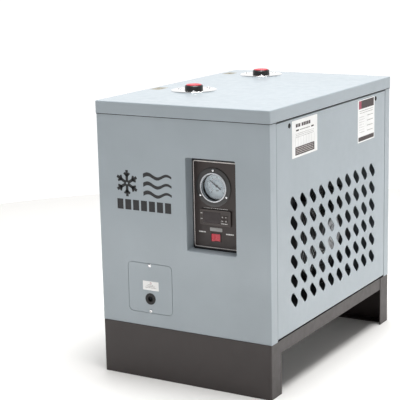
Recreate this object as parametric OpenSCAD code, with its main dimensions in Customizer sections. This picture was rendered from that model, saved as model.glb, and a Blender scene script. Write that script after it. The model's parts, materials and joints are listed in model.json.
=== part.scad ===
// Refrigerated air dryer: a sheet-metal cabinet on a folded base, with two threaded air ports on top,
// a sunk control panel at the front, slotted lift-off side panels and the cooling circuit inside.
// X runs side to side, Y front to rear and Z up. The origin is on the floor, under the centre.

/* [Cabinet] */
// Width over the top cover
body_w = 437; // [420:1:520]
// Depth over the base and the top cover
body_d = 642; // [620:1:770]
// Height of the panels between the base and the top cover
cabinet_h = 476; // [440:1:620]
// Height of the top cover
cover_h = 28; // [22:1:40]
// Thickness of the cabinet's sheet metal
sheet_t = 1.5; // [1:0.1:2]
// Outside bend radius at the upright edges
corner_r = 4; // [3:0.5:12]
// How far the front and rear panels wrap round the sides
return_d = 28; // [22:1:40]
// Width of the flanges turned in along the tops and bottoms of the panels
panel_flange = 15; // [10:1:25]

/* [Side panels] */
// Depth of the flange round a side panel
side_flange = 12; // [8:1:14]
// Seam between a side panel and the front and rear panels
side_seam = 1.5; // [0.5:0.1:2]
// Seam under the top cover
top_seam = 3; // [2:0.5:5]
// Seam above the base
low_seam = 4; // [3:0.5:6]
// Number of slots along a side panel
slot_cols = 10; // [4:1:11]
// Number of slots up a side panel
slot_rows = 6; // [3:1:8]
// Distance between slots along the panel
slot_pitch_y = 47; // [40:0.1:50]
// Distance between slots up the panel
slot_pitch_z = 43.1; // [38:0.1:50]
// Length of one slot
slot_l = 38.5; // [20:0.5:40]
// Width of one slot
slot_w = 20; // [10:0.2:21]
// Height of the lowest row of slots above the base
slot_rise = 72.5; // [50:0.5:100]
// How far the slots sit behind the panel's centre
slot_back = 1; // [0:0.5:10]
// Distance between the two screws of a side panel
panel_screw_span = 461; // [400:1:500]
// Radius of a side panel screw's head
panel_screw_r = 5.5; // [4:0.5:7]

/* [Base] */
// How far the base stands in from the sides of the top cover
base_inset = 2.5; // [0:0.5:4]
// Height of the base
base_h = 123; // [90:1:150]
// Thickness of the base's sheet metal
base_t = 3; // [2:0.5:4]
// How far the plinths wrap round the sides
leg_d = 48.4; // [40:0.1:80]
// Height of the side rails
rail_h = 30; // [24:1:50]
// How far the side rails stand in from the plinths
rail_inset = 1; // [0.5:0.5:2]
// Width of the flanges turned in along the plinths and rails
base_flange = 32; // [26:1:40]
// Radius of the anchor holes
anchor_r = 5.5; // [4:0.5:7]
// Distance side to side between the anchor holes
anchor_span = 360; // [300:1:380]

/* [Control panel] */
// Centre of the recess, side to side
recess_x = 73; // [40:1:110]
// Width of the recess
recess_w = 122.5; // [120:0.5:140]
// Height of the recess
recess_h = 206; // [200:1:230]
// Depth of the recess
recess_depth = 28; // [20:1:32]
// Distance from the top cover down to the recess
recess_drop = 84; // [60:1:100]
// Centre of the gauge, side to side
control_x = 65; // [60:1:80]
// Thickness of the control plate
plate_t = 2; // [1.5:0.5:3]
// How far the gauge's centre is below the top of the recess
gauge_drop = 66; // [55:1:70]
// Radius of the gauge's mounting flange
gauge_flange_r = 43; // [41:0.5:46]
// Radius of the gauge's bezel
gauge_r = 33; // [31:0.5:35]
// How far the gauge's bezel stands out of the control plate
gauge_out = 3; // [2.5:0.5:6]
// Diameter of the gauge's screw circle
gauge_pcd = 75; // [70:1:80]
// Width of the controller's face
controller_w = 76; // [70:1:84]
// Height of the controller's face
controller_h = 34.5; // [32:0.5:40]
// Width of the rocker switch's frame
switch_w = 25.5; // [21:0.5:28]
// Height of the rocker switch's frame
switch_h = 19.5; // [15:0.5:20]
// Travel of a key
key_travel = 0.5; // [0.3:0.1:0.8]

/* [Access cover] */
// Centre of the access cover, side to side
access_x = -87.3; // [-110:0.1:-80]
// Width of the access cover
access_w = 114.2; // [100:0.1:130]
// Height of the access cover
access_h = 113.2; // [100:0.1:130]
// Distance from the base up to the access cover
access_rise = 31.6; // [20:0.1:60]
// Radius of the cable grommet
grommet_r = 13.2; // [10:0.1:16]
// Radius of the cable hole in the grommet
cable_r = 6.5; // [4:0.5:8]

/* [Air ports] */
// Place of both ports, side to side
port_x = -99; // [-110:1:-90]
// Place of the inlet port, front to rear
inlet_y = -92; // [-110:1:-85]
// Place of the outlet port, front to rear
outlet_y = 239; // [225:1:242]
// Bore radius of a threaded socket
port_bore_r = 15.15; // [12:0.05:16]
// Outside radius of a threaded socket
socket_r = 21; // [19:0.5:22]
// How far a socket stands above the top cover
socket_rise = 12.5; // [10:0.5:25]
// Length of a socket
socket_l = 37; // [32:1:50]
// Radius of a port disc
disc_r = 53; // [50:1:58]
// Thickness of a port disc
disc_t = 2.5; // [1.5:0.5:4]

/* [Connection panel] */
// Centre of the rear recess, side to side
rear_x = -30.5; // [-40:0.5:0]
// Width of the rear recess
rear_w = 103; // [90:1:120]
// Height of the rear recess
rear_h = 95; // [80:1:110]
// Depth of the rear recess
rear_depth = 20; // [18:1:24]
// Distance from the top cover down to the rear recess
rear_drop = 24; // [15:1:40]
// Radius of the drain outlet
drain_r = 5; // [4:0.5:6]
// Length of the drain outlet outside its plate
drain_l = 16; // [14:1:18]

/* [Cooling circuit] */
// Radius of the compressor's shell
comp_r = 75; // [65:1:80]
// Height of the compressor above its grommets
comp_h = 180; // [160:1:190]
// Width of the heat exchanger
hx_w = 138; // [120:1:150]
// Size of the square condenser
cond_s = 270; // [250:2:280]
// Thickness of the condenser along the air flow
cond_t = 45; // [40:1:60]
// Number of fins in the condenser
fin_n = 29; // [15:1:35]
// Rows of tubes up the condenser
tube_rows = 9; // [5:2:9]
// Radius of a condenser tube
tube_r = 4.8; // [4:0.1:6]
// Radius of the fan blades' tips
fan_r = 122; // [100:1:124]
// Number of fan blades
blade_n = 5; // [3:1:7]
// Distance from the right panel's face to the fan motor's end
motor_inset = 48.5; // [40:0.5:60]
// Radius of the fan motor
motor_r = 42; // [34:1:46]
// Radius of the moisture separator
sep_r = 44; // [36:1:48]
// Radius of the copper lines
line_r = 5; // [4:0.5:6]
// Radius of the drain hose
hose_r = 4; // [3:0.5:4.5]

/* [Hidden] */
$fn = 48;

panel_grey = [0.64, 0.67, 0.69];
base_brown = [0.26, 0.22, 0.21];
plate_brown = [0.22, 0.18, 0.17];
steel = [0.75, 0.76, 0.78];
chrome = [0.86, 0.87, 0.88];
black = [0.07, 0.07, 0.08];
red = [0.79, 0.11, 0.2];
white = [0.93, 0.93, 0.91];
copper = [0.72, 0.42, 0.27];
brass = [0.76, 0.62, 0.3];

eps = 0.01;               // how far a cutter runs past the face it cuts
shim = 0.3;               // clearance between pieces that pass each other
slide_fit = 0.05;         // radial clearance of a pin in its bore
screw_shank_r = 2;
gauge_screw_r = 1.6;
arbor_r = 0.8;
trunnion_r = 1;
grommet_neck_r = 7;
shaft_r = 4;
stem_r = 4;

base_w = body_w - 2 * base_inset;
panel_x = body_w / 2 - sheet_t;
face_y = body_d / 2 - sheet_t;
cover_low = base_h + cabinet_h;
total_h = cover_low + cover_h;
cover_under = total_h - sheet_t;
flange_y = face_y - panel_flange;
pan_t = sheet_t;
pan_top = base_h + pan_t;
pan_gap = 1;

panel_l = 2 * (face_y - return_d - side_seam);
panel_low = base_h + low_seam;
panel_h = cabinet_h - low_seam - top_seam;
panel_screw_drop = 13;
panel_screw_z = panel_low + panel_h - panel_screw_drop;
slot_r = 8.5;
rail_web_x = panel_x - side_flange - 3;
upper_rail_low = cover_low - 39;
upper_rail_flange = 18;
hanger_h = 30;

recess_z = cover_low - recess_drop - recess_h / 2;
recess_r = 4;
plate_y = face_y - recess_depth;
plate_over = 4;
gauge_z = recess_z + recess_h / 2 - gauge_drop;
gauge_case_r = gauge_r - 1.5;
gauge_bore_r = gauge_r - 2.5;
gauge_flange_t = 1.6;
gauge_screw_n = 3;
dial_r = gauge_r - 6.2;
dial_t = 0.8;
dial_depth = 15.8;
glass_t = 2;
glass_depth = 8;
arbor_l = 8;
pointer_rest = 145.5;
controller_shift = 4.9;
controller_z = gauge_z - 66.1;
controller_out = 4;
housing_step = 5;
switch_step = 1.4;
display_w = 43;
display_h = 25;
display_x = -8.4;
key_w = 7;
key_h = 6.8;
key_pitch_x = 8.6;
key_pitch_z = 8.4;
key_x = 22.4;
key_z = -1;
switch_shift = 3.5;
switch_z = controller_z - 44.5;
rocker_w = switch_w - 3.5;
rocker_h = switch_h - 3.3;
rocker_axis = 3;
rocker_tilt = 10;
rocker_r = rocker_w / 2;
legend_z = controller_z - 26.9;

access_z = base_h + access_rise + access_h / 2;
access_r = 10;
access_seam = 1;
access_ledge = 8;
grommet_z = access_z - 24.4;
cover_screw_z = access_h / 2 - 4;
terminal_gap = 45;
terminal_y = terminal_gap + sheet_t - face_y;
screw_head_r = 4;
screw_head_t = 1.4;

socket_top = total_h + socket_rise;
socket_low = socket_top - socket_l;
plug_seat = 8;
plug_r = port_bore_r + 1.3;
disc_top = total_h + disc_t;
disc_screw_n = 3;
disc_screw_circle = disc_r - 14.5;
label_t = 0.3;
notice_label = [41.8, 21];
notice_shift = [1.5, 6];
legend_label = [30.5, 7.7];
legend_shift = 4.4;
port_labels = [[27, 42], [27, 34]];
port_label_gaps = [29.5, 24.5];
side_label_sizes = [[124, 81], [99, 101]];
side_label_gaps = [6.6, 0.7];
side_label_drops = [5.5, 6];

rear_z = cover_low - rear_drop - rear_h / 2;
rear_plate_y = face_y - rear_depth;
drain_x = -5;
drain_z = rear_z;
drain_spigot_r = drain_r - 1;
drain_inside = 6;
drain_relief = 0.6;

comp_x = -90;
comp_y = -120;
comp_foot = 15;
comp_low = pan_top + comp_foot;
comp_top = comp_low + comp_h;
comp_seam_z = comp_low + 92;
shell_t = 3;
foot_span = 62;
stub_x = comp_x + comp_r + 5;
discharge = [stub_x, comp_y + 25, comp_seam_z - 32];
suction = [stub_x, comp_y - 5, comp_seam_z - 18];

hx_low = comp_top + 10;
hx_top = upper_rail_low - hanger_h;
hx_over = 40;
hx_front = inlet_y - hx_over;
hx_rear = outlet_y + hx_over;
hx_right = port_x + hx_w / 2;
pipe_r = port_bore_r - 1;
pipe_wall = 1.5;
bypass_x = -3;
bypass_z = hx_low + 15;

fan_y = 96;
cond_feet = 14.5;
fan_z = pan_top + cond_feet + cond_s / 2;
motor_l = 26;
motor_end = panel_x - motor_inset;
guard_t = 3;
guard_x = motor_end - motor_l - guard_t;
collar_l = 22;
shroud_x = guard_x - 6 - collar_l;
shroud_depth = 26;
cond_x = shroud_x - shroud_depth - cond_t;
cond_front = fan_y - cond_s / 2;
tube_pitch_x = cond_t / 2;
tube_pitch_z = cond_s / tube_rows;
tube_col = [cond_x + cond_t / 4, cond_x + cond_t * 3 / 4];
tube_top_z = fan_z + tube_pitch_z * (tube_rows - 1) / 2;
tube_out = 6;
fin_t = 0.8;
fan_gap = 4;

drier_r = 16;
drier_l = 100;
drier_y = -150;
drier_top = comp_low + 125;
bend_r = 10;

sep_y = outlet_y - 5;
sep_low = pan_top + 70;
valve_z = pan_top + 40;
valve_body = 28;
valve_outlet_l = 14;

// ---------- shared shapes ----------

// Rectangle with round corners, centred
module round_rect(x, y, r) {
    square([x - 2 * r, y], center = true);
    square([x, y - 2 * r], center = true);
    for (sx = [-1, 1], sy = [-1, 1])
        translate([sx * (x / 2 - r), sy * (y / 2 - r)]) circle(r);
}

// Outline of a sheet wall bent round a rectangle
module wall_outline(x, y, r, t) {
    difference() {
        round_rect(x, y, r);
        round_rect(x - 2 * t, y - 2 * t, max(r - t, 0.5));
    }
}

// Keeps what lies in front of y
module front_of(y) {
    intersection() {
        children();
        translate([-body_w, -body_d]) square([2 * body_w, body_d + y]);
    }
}

// Frames whose z points out of the front, the rear and the right of the cabinet
module at_front(x, z, inset = 0) {
    translate([x, inset - face_y, z]) rotate([90, 0, 0]) children();
}

module at_rear(x, z, inset = 0) {
    translate([x, face_y - inset, z]) rotate([90, 0, 180]) children();
}

module at_right(y, z, x) {
    translate([x, y, z]) rotate([90, 0, 90]) children();
}

// Round tube, standing on z = 0
module tube(r_out, r_in, h) {
    difference() {
        cylinder(r = r_out, h = h);
        translate([0, 0, -eps]) cylinder(r = r_in, h = h + 2 * eps);
    }
}

// Domed screw head with a hexagon socket, with a plain shank behind it
module screw(head_r, head_t, shank_r, shank_l) {
    difference() {
        union() {
            cylinder(r = head_r, h = head_t * 0.6);
            cylinder(r1 = head_r, r2 = head_r * 0.7, h = head_t);
        }
        translate([0, 0, head_t * 0.4]) cylinder(r = head_r * 0.4, h = head_t, $fn = 6);
    }
    translate([0, 0, -shank_l]) cylinder(r = shank_r, h = shank_l + head_t * 0.3);
}

function unit(v) = v / norm(v);

// Quarter bend at corner p from direction a to direction b
module elbow(p, a, b, r) {
    c = p + (b - a) * bend_r;
    w = cross(a, b);
    multmatrix([[-b.x, a.x, w.x, c.x], [-b.y, a.y, w.y, c.y], [-b.z, a.z, w.z, c.z]])
        rotate_extrude(angle = 90) translate([bend_r, 0]) circle(r);
}

// Line through square corners, with a bend at each
module pipe_run(points, r) {
    last = len(points) - 1;
    for (i = [0 : last - 1]) {
        a = unit(points[i + 1] - points[i]);
        skip_start = i == 0 ? 0 : bend_r;
        skip_end = i == last - 1 ? 0 : bend_r;
        translate(points[i] + a * skip_start)
            rotate([0, acos(a.z), atan2(a.y, a.x)])
                cylinder(r = r, h = norm(points[i + 1] - points[i]) - skip_start - skip_end);
        if (i > 0) elbow(points[i], unit(points[i] - points[i - 1]), a, r);
    }
}

// ---------- base ----------

module plinth() {
    linear_extrude(base_h)
        front_of(leg_d - body_d / 2) wall_outline(base_w, body_d, corner_r, base_t);
    difference() {
        for (z = [0, base_h - base_t])
            translate([0, 0, z]) linear_extrude(base_t)
                front_of(base_flange - body_d / 2) round_rect(base_w, body_d, corner_r);
        for (s = [-1, 1])
            translate([s * anchor_span / 2, (base_flange + base_t - body_d) / 2, -eps])
                cylinder(r = anchor_r, h = base_t + 2 * eps);
    }
}

module front_plinth() color(base_brown) plinth();

module rear_plinth() color(base_brown) rotate([0, 0, 180]) plinth();

module side_rails() {
    rail_l = body_d - 2 * leg_d - 2 * shim;
    splice = 24;
    outer_x = base_w / 2 - rail_inset;
    color(base_brown)
        for (s = [0, 180]) rotate([0, 0, s]) {
            translate([outer_x - base_t, -rail_l / 2, base_h - rail_h]) cube([base_t, rail_l, rail_h]);
            for (z = [base_h - rail_h, base_h - base_t])
                translate([outer_x - base_flange, -rail_l / 2, z])
                    cube([base_flange, rail_l, base_t]);
            for (e = [-1, 1])
                translate([base_w / 2 - 2 * base_t, e * rail_l / 2 - splice / 2,
                        base_h - rail_h + base_t])
                    cube([base_t, splice, rail_h - 2 * base_t]);
        }
}

// Floor of the cabinet, with an upright for the terminal block behind the access cover
module floor_pan() {
    pan_w = 2 * (panel_x - side_flange - pan_gap);
    pan_l = 2 * (flange_y - pan_gap);
    upright_w = 104;
    color(steel) {
        translate([-pan_w / 2, -pan_l / 2, base_h]) cube([pan_w, pan_l, pan_t]);
        translate([access_x - upright_w / 2, terminal_y, base_h])
            cube([upright_w, pan_t, access_z + access_h / 4 - base_h]);
    }
}

// ---------- cabinet ----------

// Front or rear panel without its openings, wrapped round the corners
module wrap_panel() {
    translate([0, 0, base_h]) linear_extrude(cover_under - base_h)
        front_of(return_d - face_y)
            wall_outline(2 * panel_x, 2 * face_y, corner_r - sheet_t, sheet_t);
    for (z = [base_h, cover_under - sheet_t])
        translate([0, 0, z]) linear_extrude(sheet_t)
            front_of(-flange_y) round_rect(2 * panel_x, 2 * face_y, corner_r - sheet_t);
}

// Opening and walls of a recess, drawn in a frame on the panel's face
module recess_cut(w, h) {
    translate([0, 0, -sheet_t - eps]) linear_extrude(sheet_t + 2 * eps) round_rect(w, h, recess_r);
}

module recess_wall(w, h, depth) {
    translate([0, 0, -depth]) linear_extrude(depth - eps)
        wall_outline(w + 2 * sheet_t, h + 2 * sheet_t, recess_r + sheet_t, sheet_t);
}

module front_panel() {
    color(panel_grey) {
        difference() {
            wrap_panel();
            at_front(recess_x, recess_z) recess_cut(recess_w, recess_h);
            at_front(access_x, access_z) translate([0, 0, -sheet_t - eps])
                linear_extrude(sheet_t + 2 * eps)
                    round_rect(access_w + 2 * access_seam, access_h + 2 * access_seam,
                        access_r + access_seam);
        }
        at_front(recess_x, recess_z) recess_wall(recess_w, recess_h, recess_depth);
        // Ledge that the access cover sits on
        at_front(access_x, access_z, 2 * sheet_t) linear_extrude(sheet_t) difference() {
            round_rect(access_w + 2 * access_ledge, access_h + 2 * access_ledge, access_r);
            round_rect(access_w - 2 * access_ledge, access_h - 2 * access_ledge, access_r / 2);
            for (s = [-1, 1]) translate([0, s * cover_screw_z]) circle(screw_shank_r + shim);
        }
    }
}

module rear_panel() {
    color(panel_grey) {
        difference() {
            rotate([0, 0, 180]) wrap_panel();
            at_rear(rear_x, rear_z) recess_cut(rear_w, rear_h);
        }
        at_rear(rear_x, rear_z) recess_wall(rear_w, rear_h, rear_depth);
    }
}

module upper_rails() {
    color(steel)
        for (s = [0, 180]) rotate([0, 0, s]) difference() {
            union() {
                translate([rail_web_x - sheet_t, sheet_t - face_y, upper_rail_low])
                    cube([sheet_t, 2 * (face_y - sheet_t), cover_under - sheet_t - upper_rail_low]);
                for (z = [upper_rail_low, cover_under - sheet_t])
                    translate([rail_web_x - upper_rail_flange, pan_gap - flange_y, z])
                        cube([upper_rail_flange, 2 * (flange_y - pan_gap), sheet_t]);
            }
            for (y = [-1, 1])
                at_right(y * panel_screw_span / 2, panel_screw_z, rail_web_x - sheet_t - eps)
                    cylinder(r = screw_shank_r + shim, h = sheet_t + 2 * eps);
        }
}

module at_ports() {
    for (y = [inlet_y, outlet_y]) translate([port_x, y, 0]) children();
}

module top_cover() {
    color([0.95, 0.96, 0.94]) difference() {
        translate([0, 0, cover_low]) linear_extrude(cover_h) round_rect(body_w, body_d, corner_r);
        translate([0, 0, cover_low - eps]) linear_extrude(cover_h - sheet_t + eps)
            round_rect(2 * panel_x, 2 * face_y, corner_r - sheet_t);
        at_ports() translate([0, 0, cover_low]) cylinder(r = socket_r + 1, h = cover_h + eps);
        at_ports() disc_screw_places() translate([0, 0, cover_low])
            cylinder(r = screw_shank_r + shim, h = cover_h + eps);
    }
}

module control_plate() {
    color(plate_brown) difference() {
        at_front(recess_x, recess_z, recess_depth + plate_t) linear_extrude(plate_t)
            round_rect(recess_w + 2 * (sheet_t + plate_over), recess_h + 2 * (sheet_t + plate_over),
                recess_r);
        at_front(control_x, 0, recess_depth + plate_t + eps) {
            translate([0, gauge_z]) cylinder(r = gauge_case_r + shim, h = plate_t + 2 * eps);
            for (i = [0 : gauge_screw_n - 1]) translate([0, gauge_z])
                rotate(90 + i * 360 / gauge_screw_n) translate([gauge_pcd / 2, 0])
                    cylinder(r = gauge_screw_r + shim, h = plate_t + 2 * eps);
            translate([controller_shift, controller_z]) linear_extrude(plate_t + 2 * eps)
                square([controller_w - housing_step + 2 * shim, controller_h - housing_step + 2 * shim],
                    center = true);
            translate([switch_shift, switch_z]) linear_extrude(plate_t + 2 * eps)
                square([switch_w - switch_step + 2 * shim, switch_h - switch_step + 2 * shim],
                    center = true);
        }
    }
}

// ---------- access cover ----------

module access_cover() {
    color(panel_grey) at_front(access_x, access_z, sheet_t) linear_extrude(sheet_t) difference() {
        round_rect(access_w, access_h, access_r);
        translate([0, grommet_z - access_z]) circle(grommet_r - 3 + shim);
        for (s = [-1, 1]) translate([0, s * cover_screw_z]) circle(screw_shank_r + shim);
    }
}

module cover_screws() {
    color(chrome) at_front(access_x, access_z)
        for (s = [-1, 1]) translate([0, s * cover_screw_z, 0])
            screw(screw_head_r, screw_head_t, screw_shank_r, 3 * sheet_t + 4);
}

// Rubber bush in the access cover that the mains cord comes through
module cable_grommet() {
    color(black) at_front(access_x, grommet_z) difference() {
        union() {
            translate([0, 0, 0]) cylinder(r = grommet_r, h = sheet_t);
            translate([0, 0, -sheet_t - eps]) cylinder(r = grommet_r - 3, h = sheet_t + 2 * eps);
            translate([0, 0, -sheet_t - 5]) cylinder(r = grommet_r - 1, h = 5);
        }
        translate([0, 0, -sheet_t - 5 - eps])
            cylinder(r = cable_r, h = 2 * sheet_t + 5 + 2 * eps);
    }
}

module sticker(size) {
    linear_extrude(label_t) round_rect(size.x, size.y, 1);
}

// Stickers: notice on the access cover, legend under the controller, one beside each port
module cabinet_labels() {
    color(white) {
        at_front(access_x + notice_shift.x, access_z + notice_shift.y) sticker(notice_label);
        at_front(control_x + legend_shift, legend_z, recess_depth) sticker(legend_label);
        for (i = [0, 1])
            translate([port_x - disc_r - port_label_gaps[i] - port_labels[i].x / 2,
                    [inlet_y, outlet_y][i], total_h])
                sticker(port_labels[i]);
    }
}

// ---------- rear connections ----------

module connection_plate() {
    color(plate_brown) difference() {
        at_rear(rear_x, rear_z, rear_depth + plate_t) linear_extrude(plate_t)
            round_rect(rear_w + 2 * (sheet_t + plate_over), rear_h + 2 * (sheet_t + plate_over),
                recess_r);
        at_rear(drain_x, drain_z, rear_depth + plate_t + eps)
            cylinder(r = drain_spigot_r + shim, h = plate_t + 2 * eps);
    }
}

// Nipple for the condensate hose, clamped on its plate by a collar on each side
module drain_outlet() {
    collar = 2;
    wall = 1.5;
    tip_low = collar + drain_relief;
    spigot_low = -plate_t - drain_inside;
    color(brass) at_rear(drain_x, drain_z, rear_depth) difference() {
        union() {
            translate([0, 0, tip_low]) cylinder(r = drain_r, h = drain_l - tip_low);
            translate([0, 0, spigot_low]) cylinder(r = drain_spigot_r, h = tip_low - spigot_low + eps);
            cylinder(r = drain_r + 3, h = collar, $fn = 6);
            translate([0, 0, -plate_t - collar]) cylinder(r = drain_r + 3, h = collar, $fn = 6);
        }
        translate([0, 0, spigot_low - eps])
            cylinder(r = drain_spigot_r - wall, h = drain_l - spigot_low + 2 * eps);
    }
}

// ---------- air ports ----------

module disc_screw_places() {
    for (i = [0 : disc_screw_n - 1])
        rotate(60 + i * 360 / disc_screw_n) translate([disc_screw_circle, 0]) children();
}

module port_discs() {
    color(chrome) at_ports() translate([0, 0, total_h]) linear_extrude(disc_t) difference() {
        circle(disc_r);
        circle(socket_r + shim);
        disc_screw_places() circle(screw_shank_r + shim);
    }
}

module disc_screws() {
    color(chrome) at_ports() disc_screw_places()
        translate([0, 0, disc_top]) screw(screw_head_r, screw_head_t, screw_shank_r, disc_t + 6);
}

module port_sockets() {
    color(black) at_ports() difference() {
        translate([0, 0, socket_low]) cylinder(r = socket_r, h = socket_l);
        translate([0, 0, socket_low - eps]) cylinder(r = port_bore_r, h = socket_l + 2 * eps);
        translate([0, 0, socket_top - plug_seat])
            cylinder(r = plug_r + shim, h = plug_seat + eps);
    }
}

// Straight pipes from the heat exchanger up to the sockets
module air_pipes() {
    collar = 4;
    color(copper) at_ports() difference() {
        union() {
            translate([0, 0, hx_top]) cylinder(r = pipe_r + 5, h = collar);
            translate([0, 0, hx_top]) cylinder(r = pipe_r, h = socket_low - hx_top);
            translate([0, 0, socket_low - collar]) cylinder(r = socket_r, h = collar);
        }
        translate([0, 0, hx_top - eps])
            cylinder(r = pipe_r - pipe_wall, h = socket_low - hx_top + 2 * eps);
    }
}

// Cup-shaped push-in plug with a rim that rests on the socket
module port_plug(y) {
    stem_l = plug_seat - 1;
    rim_h = 1.6;
    rim_over = 1.4;
    wall = 1.8;
    color(red) translate([port_x, y, socket_top]) difference() {
        union() {
            translate([0, 0, -stem_l]) cylinder(r = plug_r, h = stem_l + eps);
            cylinder(r = plug_r + rim_over, h = rim_h);
        }
        translate([0, 0, wall - stem_l]) cylinder(r = plug_r - wall, h = stem_l + rim_h);
    }
}

module inlet_plug() port_plug(inlet_y);

module outlet_plug() port_plug(outlet_y);

// ---------- side panels ----------

// Panel in a frame on its outer face: x along the cabinet's depth, y up, z out
module side_panel() {
    difference() {
        translate([-panel_l / 2, 0, -side_flange]) cube([panel_l, panel_h, side_flange]);
        translate([sheet_t - panel_l / 2, sheet_t, -side_flange - eps])
            cube([panel_l - 2 * sheet_t, panel_h - 2 * sheet_t, side_flange - sheet_t + eps]);
        for (i = [0 : slot_cols - 1], j = [0 : slot_rows - 1])
            translate([slot_back + (i - (slot_cols - 1) / 2) * slot_pitch_y,
                    slot_rise - low_seam + j * slot_pitch_z, -sheet_t - eps])
                rotate(-45) linear_extrude(sheet_t + 2 * eps) round_rect(slot_l, slot_w, slot_r);
        for (s = [-1, 1])
            translate([s * panel_screw_span / 2, panel_h - panel_screw_drop, -sheet_t - eps])
                cylinder(r = screw_shank_r + shim, h = sheet_t + 2 * eps);
    }
}

module right_panel() color(panel_grey) at_right(0, panel_low, panel_x) side_panel();

module left_panel() color(panel_grey) rotate([0, 0, 180]) at_right(0, panel_low, panel_x) side_panel();

module panel_screws() {
    color(black) for (s = [-1, 1])
        at_right(s * panel_screw_span / 2, panel_screw_z, panel_x)
            screw(panel_screw_r, screw_head_t, screw_shank_r, panel_x - rail_web_x + 4);
}

module right_panel_screws() panel_screws();

module left_panel_screws() rotate([0, 0, 180]) panel_screws();

// Stickers on the right panel
module side_labels() {
    color(white) {
        for (i = [0, 1]) {
            size = side_label_sizes[i];
            reach = panel_screw_span / 2 - panel_screw_r - side_label_gaps[i] - size.x / 2;
            at_right((2 * i - 1) * reach, panel_low + panel_h - side_label_drops[i] - size.y / 2, panel_x)
                sticker(size);
        }
    }
}

// ---------- gauge ----------

module at_gauge() {
    at_front(control_x, gauge_z, recess_depth) children();
}

module at_gauge_screws() {
    at_gauge() for (i = [0 : gauge_screw_n - 1])
        rotate(90 + i * 360 / gauge_screw_n) translate([gauge_pcd / 2, 0, gauge_flange_t]) children();
}

module gauge_case() {
    back = 38;
    stem = 12;
    neck_r = 7;
    color(black) at_gauge() difference() {
        union() {
            cylinder(r = gauge_flange_r, h = gauge_flange_t);
            translate([0, 0, -back]) cylinder(r = gauge_case_r, h = back + eps);
            translate([0, 0, -back - stem]) cylinder(r = neck_r, h = stem + eps);
        }
        translate([0, 0, -glass_depth])
            cylinder(r = gauge_bore_r, h = glass_depth + gauge_flange_t + eps);
        translate([0, 0, -dial_depth]) cylinder(r = dial_r + shim, h = dial_depth);
        translate([0, 0, -dial_depth - arbor_l]) cylinder(r = arbor_r + slide_fit, h = arbor_l + eps);
        for (i = [0 : gauge_screw_n - 1])
            rotate(90 + i * 360 / gauge_screw_n) translate([gauge_pcd / 2, 0, -eps])
                cylinder(r = gauge_screw_r + shim, h = gauge_flange_t + 2 * eps);
    }
}

// Flat ring on the flange, with a skirt that holds the glass down
module gauge_bezel() {
    inner = gauge_bore_r - 1.2;
    skirt = gauge_out + glass_depth - glass_t;
    color(chrome) at_gauge() {
        translate([0, 0, gauge_flange_t]) tube(gauge_r, inner, gauge_out - gauge_flange_t);
        translate([0, 0, gauge_out - skirt]) tube(gauge_bore_r - 0.2, inner, skirt);
    }
}

module gauge_dial() {
    color(white) at_gauge() translate([0, 0, -dial_depth]) tube(dial_r, arbor_r + 0.6, dial_t);
}

// Needle, hub and arbor, turned to its place at rest
module gauge_pointer() {
    needle = dial_r - 3.3;
    tail = 12;
    lift = dial_t + 1.2 - dial_depth;
    foot = 1 - dial_depth - arbor_l;
    color(black) at_gauge() rotate(pointer_rest) {
        translate([0, 0, lift]) {
            cylinder(r = 2.6, h = 1.6);
            linear_extrude(0.7) polygon([[0, -1.4], [needle, -0.35], [needle, 0.35], [0, 1.4]]);
            linear_extrude(0.7) polygon([[0, -1], [-tail, -1.6], [-tail, 1.6], [0, 1]]);
        }
        translate([0, 0, foot]) cylinder(r = arbor_r, h = lift - foot + eps);
    }
}

module gauge_glass() {
    color([0.8, 0.9, 0.95, 0.35]) at_gauge() translate([0, 0, -glass_depth])
        cylinder(r = gauge_bore_r - 0.1, h = glass_t);
}

module gauge_screws() {
    color(chrome) at_gauge_screws() screw(3, 1.8, gauge_screw_r, gauge_flange_t + plate_t + 4);
}

// ---------- controller and switch ----------

module at_controller() {
    at_front(control_x + controller_shift, controller_z, recess_depth) children();
}

// Children at one key, counted from the lower left
module at_key(col, row) {
    at_controller() translate([key_x + (col - 0.5) * key_pitch_x, key_z + (row - 0.5) * key_pitch_z, 0])
        children();
}

module controller_body() {
    back = 55;
    key_pocket = 2.6;
    color(black) difference() {
        at_controller() difference() {
            union() {
                linear_extrude(controller_out) round_rect(controller_w, controller_h, 2);
                translate([0, 0, -back]) linear_extrude(back + eps)
                    square([controller_w - housing_step, controller_h - housing_step], center = true);
            }
            translate([display_x, 0, controller_out - 1.2]) linear_extrude(2)
                square([display_w, display_h], center = true);
        }
        for (c = [0, 1], r = [0, 1]) at_key(c, r)
            translate([0, 0, controller_out - key_pocket - key_travel]) linear_extrude(10)
                round_rect(key_w + 2 * shim, key_h + 2 * shim, 1);
    }
}

module display_window() {
    color([0.1, 0.02, 0.02]) at_controller() translate([display_x, 0, controller_out - 1.2])
        linear_extrude(1.2) square([display_w, display_h], center = true);
}

module key(col, row) {
    rise = 0.6;
    depth = 2.4;
    color([0.2, 0.2, 0.21]) at_key(col, row) translate([0, 0, controller_out - depth])
        linear_extrude(depth + rise) round_rect(key_w, key_h, 1);
}

module key_set() key(0, 0);

module key_power() key(1, 0);

module key_up() key(0, 1);

module key_down() key(1, 1);

module at_switch() {
    at_front(control_x + switch_shift, switch_z, recess_depth) children();
}

module switch_frame() {
    back = 18;
    color(red * 0.75) at_switch() difference() {
        union() {
            linear_extrude(1.6) round_rect(switch_w, switch_h, 1.2);
            translate([0, 0, -back]) linear_extrude(back + eps)
                square([switch_w - switch_step, switch_h - switch_step], center = true);
        }
        translate([0, 0, -rocker_axis - 5]) linear_extrude(20)
            square([rocker_w + 0.6, rocker_h + 0.4], center = true);
        translate([0, (rocker_h + 2.4) / -2, -rocker_axis]) rotate([-90, 0, 0])
            cylinder(r = trunnion_r + slide_fit, h = rocker_h + 2.4);
    }
}

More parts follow.
